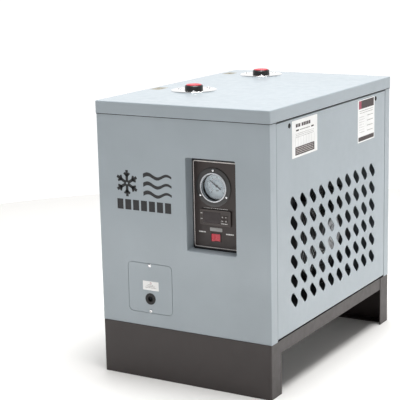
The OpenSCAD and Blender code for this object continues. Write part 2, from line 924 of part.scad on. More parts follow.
module switch_rocker() {
    dish = 3.2;
    ends = 4.4;
    foot = 2;
    color(red) at_switch() translate([0, 0, -rocker_axis]) rotate([0, rocker_tilt, 0])
        rotate([90, 0, 0]) {
            translate([0, 0, -rocker_h / 2]) linear_extrude(rocker_h) intersection() {
                circle(rocker_r);
                polygon([[-rocker_r, -foot], [rocker_r, -foot], [rocker_r, ends], [0, dish],
                    [-rocker_r, ends]]);
            }
            translate([0, 0, -rocker_h / 2 - 1]) cylinder(r = trunnion_r, h = rocker_h + 2);
        }
}

// Connection block for the mains cord
module terminal_block() {
    block = [88, 24, 30];
    ways = 6;
    pitch = block.x / ways;
    color([0.85, 0.84, 0.8])
        translate([access_x, terminal_y - block.y, access_z]) difference() {
            translate([-block.x / 2, 0, -block.z / 2]) cube(block);
            for (i = [0 : ways - 1], s = [-1, 1])
                translate([(i - (ways - 1) / 2) * pitch, -eps, s * block.z / 4]) rotate([-90, 0, 0])
                    cylinder(r = 3, h = 8);
        }
}

// ---------- compressor ----------

// Round can with a rounded end, standing on its open edge
module can(r, h, edge) {
    rotate_extrude() {
        square([r, h - edge]);
        square([r - edge, h]);
        translate([r - edge, h - edge]) intersection() {
            circle(edge);
            square(edge);
        }
    }
}

module compressor_lower_shell() {
    h = comp_seam_z - comp_low;
    plate = 2 * foot_span + 28;
    color(black) translate([comp_x, comp_y, 0]) {
        difference() {
            union() {
                translate([0, 0, comp_seam_z]) rotate([180, 0, 0]) can(comp_r - 4, h - shell_t, 24);
                translate([0, 0, comp_seam_z - 6]) cylinder(r = comp_r, h = 6);
                translate([0, 0, comp_low]) linear_extrude(shell_t)
                    round_rect(plate, plate, 14);
                for (p = [discharge, suction])
                    translate([0, p.y - comp_y, p.z]) rotate([0, 90, 0])
                        cylinder(r = line_r + 4, h = stub_x - comp_x);
            }
            translate([0, 0, comp_seam_z + eps]) rotate([180, 0, 0])
                can(comp_r - 4 - shell_t, h - 2 * shell_t, 22);
            for (x = [-1, 1], y = [-1, 1])
                translate([x * foot_span, y * foot_span, comp_low - eps])
                    cylinder(r = grommet_neck_r + shim, h = shell_t + 2 * eps);
        }
    }
}

module compressor_upper_shell() {
    h = comp_top - comp_seam_z;
    color(black) translate([comp_x, comp_y, comp_seam_z]) difference() {
        can(comp_r, h, 42);
        translate([0, 0, -eps]) can(comp_r - shell_t, h - shell_t, 40);
    }
}

module compressor_grommets() {
    color([0.15, 0.15, 0.15])
        for (x = [-1, 1], y = [-1, 1])
            translate([comp_x + x * foot_span, comp_y + y * foot_span, pan_top]) difference() {
                union() {
                    cylinder(r = 12, h = comp_foot);
                    cylinder(r = grommet_neck_r, h = comp_foot + shell_t + eps);
                    translate([0, 0, comp_foot + shell_t]) cylinder(r = 10, h = 5);
                }
                translate([0, 0, -eps]) cylinder(r = 3.5, h = comp_foot + shell_t + 6);
            }
}

module compressor_terminal_cover() {
    size = [46, 22, 50];
    color([0.18, 0.18, 0.19])
        translate([comp_x - size.x / 2, comp_y - comp_r - size.y + 2, comp_seam_z - 6 - size.z])
            difference() {
                cube(size);
                translate([size.x / 2, size.y + comp_r - 2, -eps])
                    cylinder(r = comp_r + 0.05, h = size.z + 2 * eps, $fn = 96);
            }
}

// ---------- condenser and fan ----------

module condenser_fins() {
    end_t = 1.5;
    pitch = (cond_s - end_t) / (fin_n + 1);
    color(steel) {
        for (i = [0 : fin_n + 1]) {
            t = i == 0 || i == fin_n + 1 ? end_t : fin_t;
            translate([cond_x, cond_front + end_t / 2 + i * pitch + t / 2, fan_z - cond_s / 2])
                rotate([90, 0, 0]) linear_extrude(t) difference() {
                    square([cond_t, cond_s]);
                    for (c = [0, 1], k = [0 : tube_rows - 1])
                        translate([tube_col[c] - cond_x, (k + 0.5) * tube_pitch_z])
                            circle(tube_r + slide_fit);
                }
        }
        for (z = [-1, 1])
            translate([cond_x, cond_front, fan_z + z * (cond_s / 2) - (z + 1) / 2 * end_t])
                cube([cond_t, cond_s, end_t]);
        for (y = [cond_front, cond_front + cond_s - 30])
            translate([cond_x, y, pan_top]) cube([cond_t, 30, cond_feet + end_t]);
    }
}

// Half-turn bend that joins two tubes
module return_bend(reach) {
    rotate_extrude(angle = 180) translate([reach / 2, 0]) circle(tube_r);
}

module condenser_tubes() {
    front_end = cond_front - tube_out;
    rear_end = cond_front + cond_s + tube_out;
    last = tube_rows - 1;
    color(copper) {
        for (c = [0, 1], k = [0 : last])
            translate([tube_col[c], front_end, tube_top_z - k * tube_pitch_z]) rotate([-90, 0, 0])
                cylinder(r = tube_r, h = rear_end - front_end);
        for (c = [0, 1], k = [0 : last - 1]) {
            at_rear_end = k % 2 == 0;
            translate([tube_col[c], at_rear_end ? rear_end : front_end,
                    tube_top_z - (k + 0.5) * tube_pitch_z])
                rotate([0, 90, 0]) rotate([0, 0, at_rear_end ? 0 : 180])
                    return_bend(tube_pitch_z);
        }
        translate([(tube_col[0] + tube_col[1]) / 2, rear_end, tube_top_z - last * tube_pitch_z])
            return_bend(tube_pitch_x);
    }
}

module at_fan(x) {
    at_right(fan_y, fan_z, x) children();
}

// Hood from the condenser to the fan, with a collar round the blades
module fan_shroud() {
    collar_r = fan_r + fan_gap;
    color([0.3, 0.31, 0.32]) at_fan(shroud_x) difference() {
        union() {
            translate([-cond_s / 2, -cond_s / 2, -shroud_depth]) cube([cond_s, cond_s, shroud_depth]);
            cylinder(r = collar_r + sheet_t, h = collar_l);
        }
        translate([sheet_t - cond_s / 2, sheet_t - cond_s / 2, -shroud_depth - eps])
            cube([cond_s - 2 * sheet_t, cond_s - 2 * sheet_t, shroud_depth - sheet_t + eps]);
        translate([0, 0, -shroud_depth]) cylinder(r = collar_r, h = shroud_depth + collar_l + eps);
    }
}

module fan_guard() {
    rings = [motor_r - 3, 66, 92, fan_r - 4];
    ring_w = 3;
    rim_r = fan_r + fan_gap + 8;
    arms = 4;
    color(black) at_fan(guard_x) {
        for (r = rings) tube(r, r - ring_w, guard_t);
        tube(rim_r + ring_w, rim_r - ring_w, guard_t);
        for (i = [0 : arms - 1]) rotate(45 + i * 360 / arms) {
            translate([motor_r - 6, -4, 0]) cube([rim_r - motor_r + 6, 8, guard_t]);
            translate([rim_r, 0, shroud_x - guard_x]) cylinder(r = 3, h = guard_x - shroud_x);
        }
    }
}

module fan_motor() {
    shaft_l = 30;
    color(steel) at_fan(guard_x + guard_t) difference() {
        union() {
            can(motor_r, motor_l, 6);
            translate([0, 0, -guard_t - shaft_l]) cylinder(r = shaft_r, h = guard_t + shaft_l + eps);
        }
        translate([0, 0, motor_l - 2]) tube(motor_r * 0.62, motor_r * 0.56, 3);
    }
}

module fan_blades() {
    hub_r = 26;
    hub_l = 20;
    chord = 60;
    pitch = 24;
    color([0.78, 0.79, 0.8]) at_fan(shroud_x + collar_l / 2) difference() {
        union() {
            translate([0, 0, -hub_l / 2]) cylinder(r = hub_r, h = hub_l);
            intersection() {
                cylinder(r = fan_r, h = chord, center = true);
                for (i = [0 : blade_n - 1]) rotate(i * 360 / blade_n)
                    translate([hub_r - 3, 0, 0]) rotate([pitch, 0, 0])
                        translate([0, -chord / 2, -1]) cube([fan_r, chord, 2]);
            }
        }
        translate([0, 0, -hub_l]) cylinder(r = shaft_r + slide_fit, h = 2 * hub_l);
    }
}

// ---------- air side ----------

// Insulated air-to-air exchanger and evaporator
module heat_exchanger() {
    color([0.12, 0.12, 0.13]) translate([port_x, (hx_front + hx_rear) / 2, hx_low])
        linear_extrude(hx_top - hx_low) round_rect(hx_w, hx_rear - hx_front, 22);
}

// Cross bars under the upper rails that carry the heat exchanger
module exchanger_hangers() {
    bar_w = 30;
    inset = 60;
    color(steel)
        for (y = [inlet_y + inset, outlet_y - inset])
            translate([-rail_web_x + sheet_t, y, hx_top]) difference() {
                cube([2 * (rail_web_x - sheet_t), bar_w, hanger_h]);
                translate([-eps, sheet_t, sheet_t])
                    cube([2 * rail_web_x, bar_w - 2 * sheet_t, hanger_h]);
            }
}

module moisture_separator() {
    neck = 14;
    h = hx_low - sep_low - neck;
    color([0.55, 0.57, 0.6]) translate([port_x, sep_y, sep_low]) {
        can(sep_r, h, 16);
        cylinder(r = sep_r + 4, h = 8);
        translate([0, 0, h - eps]) cylinder(r = 16, h = neck + eps);
    }
}

// Ball valve and solenoid valve under the separator
module drain_valve() {
    half = valve_body / 2;
    color(brass) translate([port_x, sep_y, valve_z]) {
        cube(valve_body, center = true);
        cylinder(r = 9, h = sep_low - valve_z);
        translate([0, -half, 0]) rotate([90, 0, 0]) cylinder(r = stem_r, h = 12);
        translate([half - eps, 0, 0]) rotate([0, 90, 0]) cylinder(r = 8, h = valve_outlet_l + eps);
        translate([0, half - eps, 0]) rotate([-90, 0, 0]) cylinder(r = 15, h = 32 + eps);
    }
}

// Lever of the ball valve, hanging down in line with the drain at rest
module valve_lever() {
    arm_l = 27;
    hub_r = 8;
    hub_l = 5;
    color(red) translate([port_x, sep_y - valve_body / 2 - 4, valve_z]) rotate([90, 0, 0]) difference() {
        union() {
            cylinder(r = hub_r, h = hub_l);
            translate([-5, -arm_l, 0]) cube([10, arm_l, 3]);
            translate([0, -arm_l, 0]) cylinder(r = 5, h = 3);
        }
        translate([0, 0, -eps]) cylinder(r = stem_r + slide_fit, h = hub_l + 1);
    }
}

module drain_hose() {
    start = [port_x + valve_body / 2 + valve_outlet_l, sep_y, valve_z];
    up = [drain_x, sep_y, valve_z];
    top = [drain_x, sep_y, drain_z];
    color([0.2, 0.35, 0.6])
        pipe_run([start, up, top, [drain_x, rear_plate_y - plate_t - drain_inside, drain_z]], hose_r);
}

// ---------- refrigerant lines ----------

module filter_drier() {
    color(copper * 0.9) translate([tube_col[1], drier_y, drier_top - drier_l]) {
        taper = 14;
        cylinder(r1 = line_r + 2, r2 = drier_r, h = taper);
        translate([0, 0, taper]) cylinder(r = drier_r, h = drier_l - 2 * taper);
        translate([0, 0, drier_l - taper]) cylinder(r1 = drier_r, r2 = line_r + 2, h = taper);
    }
}

// Hot-gas valve in the line from the compressor to the evaporator
module bypass_valve() {
    color(brass) translate([bypass_x, discharge.y, bypass_z]) {
        cube([20, 18, 18], center = true);
        translate([0, 0, 9 - eps]) cylinder(r = 8, h = 16);
        translate([0, 0, -9 - 6]) cylinder(r = 6, h = 6 + eps, $fn = 6);
    }
}

module copper_lines() {
    rise_x = 26;
    cap_x = 5;
    suction_x = 8;
    drier_low = drier_top - drier_l;
    inlet_end = [tube_col[0], cond_front - tube_out, tube_top_z];
    outlet_end = [tube_col[1], cond_front - tube_out, tube_top_z];
    color(copper) {
        pipe_run([discharge, [rise_x, discharge.y, discharge.z], [rise_x, discharge.y, inlet_end.z],
            [inlet_end.x, discharge.y, inlet_end.z], inlet_end], line_r);
        pipe_run([outlet_end, [outlet_end.x, drier_y, outlet_end.z],
            [outlet_end.x, drier_y, drier_top]], line_r);
        pipe_run([[tube_col[1], drier_y, drier_low], [tube_col[1], drier_y, pan_top + 16],
            [cap_x, drier_y, pan_top + 16], [cap_x, drier_y, hx_low + 90],
            [cap_x, inlet_y + 40, hx_low + 90], [hx_right, inlet_y + 40, hx_low + 90]], line_r - 1.5);
        pipe_run([[hx_right, 0, hx_low + 70], [suction_x, 0, hx_low + 70], [suction_x, 0, suction.z],
            [suction_x, suction.y, suction.z], suction], line_r + 1.5);
        for (s = [[hx_right, bypass_x - 10], [bypass_x + 10, rise_x]])
            translate([s[0], discharge.y, bypass_z]) rotate([0, 90, 0])
                cylinder(r = line_r - 1, h = s[1] - s[0]);
    }
}

front_plinth();
rear_plinth();
side_rails();
floor_pan();
front_panel();
rear_panel();
upper_rails();
top_cover();
control_plate();
access_cover();
cover_screws();
cable_grommet();
cabinet_labels();
connection_plate();
drain_outlet();
port_discs();
disc_screws();
port_sockets();
air_pipes();
right_panel();
right_panel_screws();
side_labels();
left_panel();
left_panel_screws();
inlet_plug();
outlet_plug();
gauge_case();
gauge_bezel();
gauge_dial();
gauge_pointer();
gauge_glass();
gauge_screws();
controller_body();
display_window();
key_up();
key_down();
key_set();
key_power();
switch_frame();
switch_rocker();
terminal_block();
compressor_lower_shell();
compressor_upper_shell();
compressor_grommets();
compressor_terminal_cover();
condenser_fins();
condenser_tubes();
fan_shroud();
fan_guard();
fan_motor();
fan_blades();
heat_exchanger();
exchanger_hangers();
moisture_separator();
drain_valve();
valve_lever();
drain_hose();
filter_drier();
bypass_valve();
copper_lines();
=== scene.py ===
import json
import math
import random

import bmesh
import bpy
from mathutils import Matrix, Vector
from mathutils.geometry import tessellate_polygon

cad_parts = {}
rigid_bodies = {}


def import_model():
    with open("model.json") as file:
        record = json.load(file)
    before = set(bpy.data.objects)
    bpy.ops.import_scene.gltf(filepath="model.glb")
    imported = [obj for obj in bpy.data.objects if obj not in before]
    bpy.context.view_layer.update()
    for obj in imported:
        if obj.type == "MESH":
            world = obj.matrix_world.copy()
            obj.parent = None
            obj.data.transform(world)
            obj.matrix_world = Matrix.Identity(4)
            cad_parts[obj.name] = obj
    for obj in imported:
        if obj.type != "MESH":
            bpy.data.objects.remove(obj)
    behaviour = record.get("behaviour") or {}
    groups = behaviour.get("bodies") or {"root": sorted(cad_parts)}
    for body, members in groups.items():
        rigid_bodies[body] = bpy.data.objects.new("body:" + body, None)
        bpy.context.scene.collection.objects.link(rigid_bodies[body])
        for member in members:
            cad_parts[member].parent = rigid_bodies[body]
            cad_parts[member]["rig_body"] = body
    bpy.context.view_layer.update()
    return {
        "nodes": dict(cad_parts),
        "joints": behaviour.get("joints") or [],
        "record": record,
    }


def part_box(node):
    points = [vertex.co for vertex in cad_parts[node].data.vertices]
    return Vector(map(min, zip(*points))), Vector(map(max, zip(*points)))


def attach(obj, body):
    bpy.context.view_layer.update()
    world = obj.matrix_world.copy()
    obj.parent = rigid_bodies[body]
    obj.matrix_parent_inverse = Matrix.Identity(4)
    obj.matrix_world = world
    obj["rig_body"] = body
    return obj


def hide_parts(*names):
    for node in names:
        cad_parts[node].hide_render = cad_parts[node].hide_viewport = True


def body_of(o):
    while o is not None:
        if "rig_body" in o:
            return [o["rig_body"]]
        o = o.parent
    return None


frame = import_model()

record = frame["record"]
slotOf = {part["node"]: part["material_slot"] for part in record["subparts"]}
jointOf = {joint["name"]: joint for joint in frame["joints"]}
mm = 0.001
quarter = math.pi / 2

# ---- camera, floor and light ----

cameraView = {
    "place": (1.41347, -2.59855, 0.99798),
    "azimuth": 30.94527,
    "elevation": 12.16287,
    "roll": -1.28431,
    "lens": 114.25659,
    "sensor": 36.0,
}


def makeCamera(view):
    azimuth, elevation, roll = (math.radians(view[key]) for key in ("azimuth", "elevation", "roll"))
    forward = Vector((-math.sin(azimuth) * math.cos(elevation),
                      math.cos(azimuth) * math.cos(elevation), -math.sin(elevation)))
    right = forward.cross(Vector((0, 0, 1))).normalized()
    up = right.cross(forward)
    across = right * math.cos(roll) + up * math.sin(roll)
    upward = up * math.cos(roll) - right * math.sin(roll)
    turned = Matrix((across, upward, -forward)).transposed().to_4x4()
    lens = bpy.data.cameras.new("camera")
    lens.lens = view["lens"]
    lens.sensor_width = view["sensor"]
    camera = bpy.data.objects.new("camera", lens)
    camera.matrix_world = Matrix.Translation(view["place"]) @ turned
    bpy.context.scene.collection.objects.link(camera)
    bpy.context.scene.camera = camera


makeCamera(cameraView)
print("camera placed")

# ---- node and mesh helpers ----


def put(tree, kind, inputs=None, **fields):
    node = tree.nodes.new(kind)
    for field, value in fields.items():
        setattr(node, field, value)
    for socket, value in (inputs or {}).items():
        node.inputs[socket].default_value = value
    return node


def join(tree, source, out, target, socket):
    tree.links.new(source.outputs[out], target.inputs[socket])


def addPiece(name, mesh):
    piece = bpy.data.objects.new(name, mesh)
    bpy.context.scene.collection.objects.link(piece)
    return piece


def meshPiece(name, bm, crease=35, turnOut=True):
    # joins doubles, points the faces outwards and shades everything below the crease angle smooth
    bmesh.ops.remove_doubles(bm, verts=bm.verts, dist=1e-7)
    bmesh.ops.dissolve_degenerate(bm, edges=bm.edges, dist=1e-8)
    if turnOut:
        bmesh.ops.recalc_face_normals(bm, faces=bm.faces)
    mesh = bpy.data.meshes.new(name)
    bm.to_mesh(mesh)
    bm.free()
    mesh.polygons.foreach_set("use_smooth", [True] * len(mesh.polygons))
    mesh.set_sharp_from_angle(angle=math.radians(crease))
    return addPiece(name, mesh)


def settle(piece, finish, *nodes, body=None, slot=None):
    # gives a piece its finish and body, and hides the plain parts that it stands for
    if finish:
        piece.data.materials.clear()
        piece.data.materials.append(finish)
    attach(piece, body or body_of(frame["nodes"][nodes[0]])[0])
    if nodes:
        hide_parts(*nodes)
    return piece


def evenShade(piece):
    # large flats keep a flat shade beside small rounded edges
    weigh = piece.modifiers.new("evenShade", "WEIGHTED_NORMAL")
    weigh.keep_sharp = True
    return piece


def softEdges(piece, width, segments=2, angle=40):
    ease = piece.modifiers.new("softEdges", "BEVEL")
    ease.width = width
    ease.segments = segments
    ease.limit_method = "ANGLE"
    ease.angle_limit = math.radians(angle)
    ease.harden_normals = False
    return evenShade(piece)


def middle(node):
    low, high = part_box(node)
    return (low + high) / 2


def spanOf(node):
    low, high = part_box(node)
    return high - low


def islands(node):
    # boxes of the separate solids in one node
    bm = bmesh.new()
    bm.from_mesh(frame["nodes"][node].data)
    bmesh.ops.remove_doubles(bm, verts=bm.verts, dist=1e-6)
    left, boxes = set(bm.verts), []
    while left:
        stack, found = [left.pop()], []
        while stack:
            vert = stack.pop()
            found.append(vert.co.copy())
            for edge in vert.link_edges:
                other = edge.other_vert(vert)
                if other in left:
                    left.remove(other)
                    stack.append(other)
        boxes.append((Vector([min(p[i] for p in found) for i in range(3)]),
                      Vector([max(p[i] for p in found) for i in range(3)])))
    bm.free()
    return sorted(boxes, key=lambda pair: tuple(round(v, 5) for v in pair[0]))


# places whose z points out of the front, rear, right, left and top of the cabinet
def onFront(x, y, z):
    return Matrix.Translation((x, y, z)) @ Matrix.Rotation(quarter, 4, "X")


def onRear(x, y, z):
    return Matrix.Translation((x, y, z)) @ Matrix.Rotation(math.pi, 4, "Z") @ Matrix.Rotation(quarter, 4, "X")


def onRight(x, y, z):
    return Matrix.Translation((x, y, z)) @ Matrix.Rotation(quarter, 4, "Z") @ Matrix.Rotation(quarter, 4, "X")


def onLeft(x, y, z):
    return Matrix.Translation((x, y, z)) @ Matrix.Rotation(-quarter, 4, "Z") @ Matrix.Rotation(quarter, 4, "X")


def onTop(x, y, z):
    return Matrix.Translation((x, y, z))


def roundLoop(width, height, radius, centre=(0, 0), turn=0.0, steps=6):
    # outline of a rectangle with round corners; the result gives its points when grown by a distance
    def points(grow=0.0):
        found = []
        for corner, (sx, sy) in enumerate(((1, 1), (-1, 1), (-1, -1), (1, -1))):
            for step in range(steps + 1):
                angle = quarter * (corner + step / steps)
                x = sx * (width / 2 - radius) + (radius + grow) * math.cos(angle)
                y = sy * (height / 2 - radius) + (radius + grow) * math.sin(angle)
                found.append((centre[0] + x * math.cos(turn) - y * math.sin(turn),
                              centre[1] + x * math.sin(turn) + y * math.cos(turn)))
        return found
    return points


def ringLoop(radius, centre=(0, 0), steps=64):
    def points(grow=0.0):
        return [(centre[0] + (radius + grow) * math.cos(2 * math.pi * k / steps),
                 centre[1] + (radius + grow) * math.sin(2 * math.pi * k / steps)) for k in range(steps)]
    return points


def plateRows(thickness, edge, steps=2):
    # rows of (grow, depth) round the edge of a flat plate, from its face to its back
    turn = [quarter * k / steps for k in range(steps + 1)]
    return ([(edge * (math.sin(a) - 1), -edge * (1 - math.cos(a))) for a in turn]
            + [(edge * (math.cos(a) - 1), edge * (1 - math.sin(a)) - thickness) for a in turn])


def foldRows(thickness, bend, depth, steps=5):
    # rows round a folded rim: outer bend, flange, lip, and back up the inside
    turn = [quarter * k / steps for k in range(steps + 1)]
    ease = thickness * 0.3
    rows = [(bend * (math.sin(a) - 1), bend * (math.cos(a) - 1)) for a in turn]
    rows += [(0, ease - depth), (-ease, -depth), (ease - thickness, -depth), (-thickness, ease - depth)]
    inner = bend - thickness
    return rows + [(inner * math.cos(a) - bend, inner * math.sin(a) - bend) for a in turn]


def formSheet(bm, place, outer, outerRows, holes=(), holeEdge=None):
    # closed sheet whose rim and holes follow their rows, with flat faces between them
    sides = [(outer, outerRows)] + [(hole, [(-g, d) for g, d in holeEdge]) for hole in holes]
    flat, solid = [], []
    for loop, rows in sides:
        levels = [[Vector((x, y, depth)) for x, y in loop(grow)] for grow, depth in rows]
        flat.append(levels)
        solid.append([[bm.verts.new(place @ point) for point in level] for level in levels])
    for side in solid:
        for first, second in zip(side, side[1:]):
            for i in range(len(first)):
                j = (i + 1) % len(first)
                bm.faces.new((first[i], first[j], second[j], second[i]))
    for end in (0, -1):
        corners = [vert for side in solid for vert in side[end]]
        for triangle in tessellate_polygon([side[end] for side in flat]):
            if len(set(triangle)) == 3:
                bm.faces.new([corners[k] for k in triangle])


def filleted(points, steps=4):
    # rounds the corners of an outline given as (x, y, radius)
    found = []
    for index, (x, y, radius) in enumerate(points):
        here = Vector((x, y))
        if not radius:
            found.append(here)
            continue
        before = Vector(points[index - 1][:2]) - here
        after = Vector(points[(index + 1) % len(points)][:2]) - here
        start = here + before.normalized() * min(radius, before.length / 2)
        end = here + after.normalized() * min(radius, after.length / 2)
        for step in range(steps + 1):
            t = step / steps
            found.append(start * (1 - t) ** 2 + here * 2 * t * (1 - t) + end * t ** 2)
    return found


def lathe(bm, place, profile, steps=64, closed=True):
    # turns a profile of (radius, height) about z, with u round it and v along it in metres
    uvs = bm.loops.layers.uv.verify()
    rows, along = [], [0.0]
    for a, b in zip(profile, profile[1:]):
        along.append(along[-1] + (Vector(b) - Vector(a)).length)
    for radius, height in profile:
        count = steps if radius > 1e-9 else 1
        rows.append([bm.verts.new(place @ Vector((radius * math.cos(2 * math.pi * k / steps),
                                                  radius * math.sin(2 * math.pi * k / steps), height)))
                     for k in range(count)])
    pairs = list(zip(range(len(rows)), range(1, len(rows))))
    if closed:
        pairs.append((len(rows) - 1, 0))
        along.append(along[-1] + (Vector(profile[0]) - Vector(profile[-1])).length)
    for number, (a, b) in enumerate(pairs):
        for k in range(steps):
            quad, where = [], []
            for row, turn, level in ((a, k, number), (a, k + 1, number), (b, k + 1, number + 1), (b, k, number + 1)):
                vert = rows[row][turn % len(rows[row])]
                if vert not in quad:
                    quad.append(vert)
                    where.append((turn / steps, along[level]))
            if len(quad) > 2:
                face = bm.faces.new(quad)
                for loop, uv in zip(face.loops, where):
                    loop[uvs].uv = uv


def turned(name, place, profile, steps=64, closed=True, crease=35):
    bm = bmesh.new()
    lathe(bm, place, filleted(profile) if len(profile[0]) == 3 else profile, steps, closed)
    return meshPiece(name, bm, crease)


def softened(node, name, finish, width=0.0, crease=30):
    # the plain part's own shape with its doubles joined, its flats whole and its edges eased
    bm = bmesh.new()
    bm.from_mesh(frame["nodes"][node].data)
    bmesh.ops.remove_doubles(bm, verts=bm.verts, dist=1e-6)
    bmesh.ops.dissolve_limit(bm, angle_limit=math.radians(0.5), verts=bm.verts, edges=bm.edges)
    piece = meshPiece(name, bm, crease, turnOut=False)
    if width:
        softEdges(piece, width)
    return settle(piece, finish, node)


# ---- finishes ----


def newFinish(name, colour, roughness, metallic=0.0, **sockets):
    finish = bpy.data.materials.new(name)
    finish.use_nodes = True
    tree = finish.node_tree
    shader = tree.nodes["Principled BSDF"]
    shader.inputs["Base Color"].default_value = (*colour, 1)
    shader.inputs["Roughness"].default_value = roughness
    shader.inputs["Metallic"].default_value = metallic
    for socket, value in sockets.items():
        shader.inputs[socket.replace("_", " ")].default_value = value
    where = put(tree, "ShaderNodeTexCoord")
    return finish, tree, shader, where


def grain(tree, where, scale, detail=2.0, stretch=None, coordinate="Object", roughness=0.5):
    noise = put(tree, "ShaderNodeTexNoise", {"Scale": scale, "Detail": detail, "Roughness": roughness})
    if stretch:
        mapping = put(tree, "ShaderNodeMapping", {"Scale": stretch})
        join(tree, where, coordinate, mapping, "Vector")
        join(tree, mapping, "Vector", noise, "Vector")
    else:
        join(tree, where, coordinate, noise, "Vector")
    return noise


def mottle(tree, shader, noise, darker, lighter, low=0.35, high=0.65):
    ramp = put(tree, "ShaderNodeValToRGB")
    ramp.color_ramp.elements[0].position = low
    ramp.color_ramp.elements[0].color = (*darker, 1)
    ramp.color_ramp.elements[1].position = high
    ramp.color_ramp.elements[1].color = (*lighter, 1)
    join(tree, noise, "Fac", ramp, "Fac")
    join(tree, ramp, "Color", shader, "Base Color")
    return ramp


def roughen(tree, shader, noise, low, high):
    spread = put(tree, "ShaderNodeMapRange", {"From Min": 0.3, "From Max": 0.7, "To Min": low, "To Max": high})
    join(tree, noise, "Fac", spread, "Value")
    join(tree, spread, "Result", shader, "Roughness")


def emboss(tree, shader, noise, distance, strength=1.0, under=None):
    bump = put(tree, "ShaderNodeBump", {"Strength": strength, "Distance": distance})
    join(tree, noise, "Fac", bump, "Height")
    if under:
        join(tree, under, "Normal", bump, "Normal")
    join(tree, bump, "Normal", shader, "Normal")
    return bump


def shade(colour, factor):
    return tuple(min(1.0, c * factor) for c in colour)


def powderCoat(name, colour, roughness=0.4, peel=0.00003, spread=0.03, coat=0.25):
    # baked paint: faint cloudiness, orange peel and a fine speckle in the gloss
    finish, tree, shader, where = newFinish(name, colour, roughness, Coat_Weight=coat, Coat_Roughness=0.12)
    cloud = grain(tree, where, 9.0, 3.0)
    mottle(tree, shader, cloud, shade(colour, 1 - spread), shade(colour, 1 + spread))
    roughen(tree, shader, grain(tree, where, 60.0, 4.0), roughness - 0.05, roughness + 0.07)
    if peel:
        emboss(tree, shader, grain(tree, where, 420.0, 1.0), peel, 0.5)
    return finish


def platedMetal(name, colour, roughness=0.2, scratch=0.00001, stretch=(1, 1, 14)):
    # bright plating with hairline scratches
    finish, tree, shader, where = newFinish(name, colour, roughness, metallic=1.0)
    hair = grain(tree, where, 900.0, 3.0, stretch)
    mottle(tree, shader, grain(tree, where, 70.0, 3.0), shade(colour, 0.9), shade(colour, 1.05))
    roughen(tree, shader, hair, roughness - 0.06, roughness + 0.1)
    emboss(tree, shader, hair, scratch, 0.4)
    return finish


def turnedMetal(name, colour, roughness=0.2, lines=5200.0, depth=0.000008):
    # polished on a lathe: the marks run round the piece, along its own v
    finish, tree, shader, where = newFinish(name, colour, roughness, metallic=1.0)
    marks = grain(tree, where, 1.0, 4.0, (3.0, lines, 1.0), "UV")
    mottle(tree, shader, grain(tree, where, 55.0, 2.0), shade(colour, 0.93), shade(colour, 1.03))
    roughen(tree, shader, marks, roughness - 0.08, roughness + 0.08)
    emboss(tree, shader, marks, depth, 0.4)
    return finish


def mouldedPlastic(name, colour, roughness=0.35, pebble=0.00002, size=1400.0, **sockets):
    # moulded plastic: even colour with a fine spark-eroded texture
    finish, tree, shader, where = newFinish(name, colour, roughness, **sockets)
    mottle(tree, shader, grain(tree, where, 40.0, 3.0), shade(colour, 0.94), shade(colour, 1.06))
    roughen(tree, shader, grain(tree, where, 180.0, 3.0), roughness - 0.05, roughness + 0.06)
    emboss(tree, shader, grain(tree, where, size, 2.0), pebble, 0.5)
    return finish


def castMetal(name, colour, roughness=0.5, metallic=1.0, lumps=0.00012):
    # sand or die casting: pitted skin under a finer grain
    finish, tree, shader, where = newFinish(name, colour, roughness, metallic=metallic)
    mottle(tree, shader, grain(tree, where, 45.0, 5.0), shade(colour, 0.82), shade(colour, 1.12))
    roughen(tree, shader, grain(tree, where, 300.0, 3.0), roughness - 0.08, roughness + 0.12)
    coarse = emboss(tree, shader, grain(tree, where, 420.0, 3.0), lumps, 0.5)
    emboss(tree, shader, grain(tree, where, 2400.0, 2.0), lumps * 0.2, 0.5, under=coarse)
    return finish


def softFoam(name, colour, roughness=0.85):
    # closed-cell foam and rubber: matt, with open pores and a pale bloom
    finish, tree, shader, where = newFinish(name, colour, roughness, Sheen_Weight=0.15)
    mottle(tree, shader, grain(tree, where, 24.0, 5.0), shade(colour, 0.75), shade(colour, 1.5))
    cells = put(tree, "ShaderNodeTexVoronoi", {"Scale": 700.0})
    join(tree, where, "Object", cells, "Vector")
    bump = put(tree, "ShaderNodeBump", {"Strength": 0.5, "Distance": 0.0002})
    join(tree, cells, "Distance", bump, "Height")
    join(tree, bump, "Normal", shader, "Normal")
    return finish


def zincSpangle(name, colour, roughness=0.38):
    # galvanised sheet: crystal patches of slightly different brightness
    finish, tree, shader, where = newFinish(name, colour, roughness, metallic=1.0)
    crystal = put(tree, "ShaderNodeTexVoronoi", {"Scale": 95.0})
    join(tree, where, "Object", crystal, "Vector")
    tone = put(tree, "ShaderNodeMapRange", {"To Min": 0.0, "To Max": 1.0})
    join(tree, crystal, "Color", tone, "Value")
    ramp = put(tree, "ShaderNodeValToRGB")
    ramp.color_ramp.elements[0].color = (*shade(colour, 0.8), 1)
    ramp.color_ramp.elements[1].color = (*shade(colour, 1.12), 1)
    join(tree, tone, "Result", ramp, "Fac")
    join(tree, ramp, "Color", shader, "Base Color")
    roughen(tree, shader, grain(tree, where, 90.0, 3.0), roughness - 0.08, roughness + 0.1)
    emboss(tree, shader, grain(tree, where, 1500.0, 2.0), 0.00001, 0.5)
    return finish


def paperFilm(name, colour, roughness=0.42):
    # printed film: almost even, with a trace of texture and handling marks
    finish, tree, shader, where = newFinish(name, colour, roughness, Coat_Weight=0.15)
    mottle(tree, shader, grain(tree, where, 30.0, 4.0), shade(colour, 0.96), shade(colour, 1.03))
    roughen(tree, shader, grain(tree, where, 120.0, 4.0), roughness - 0.08, roughness + 0.1)
    emboss(tree, shader, grain(tree, where, 1800.0, 2.0), 0.000012, 0.4)
    return finish


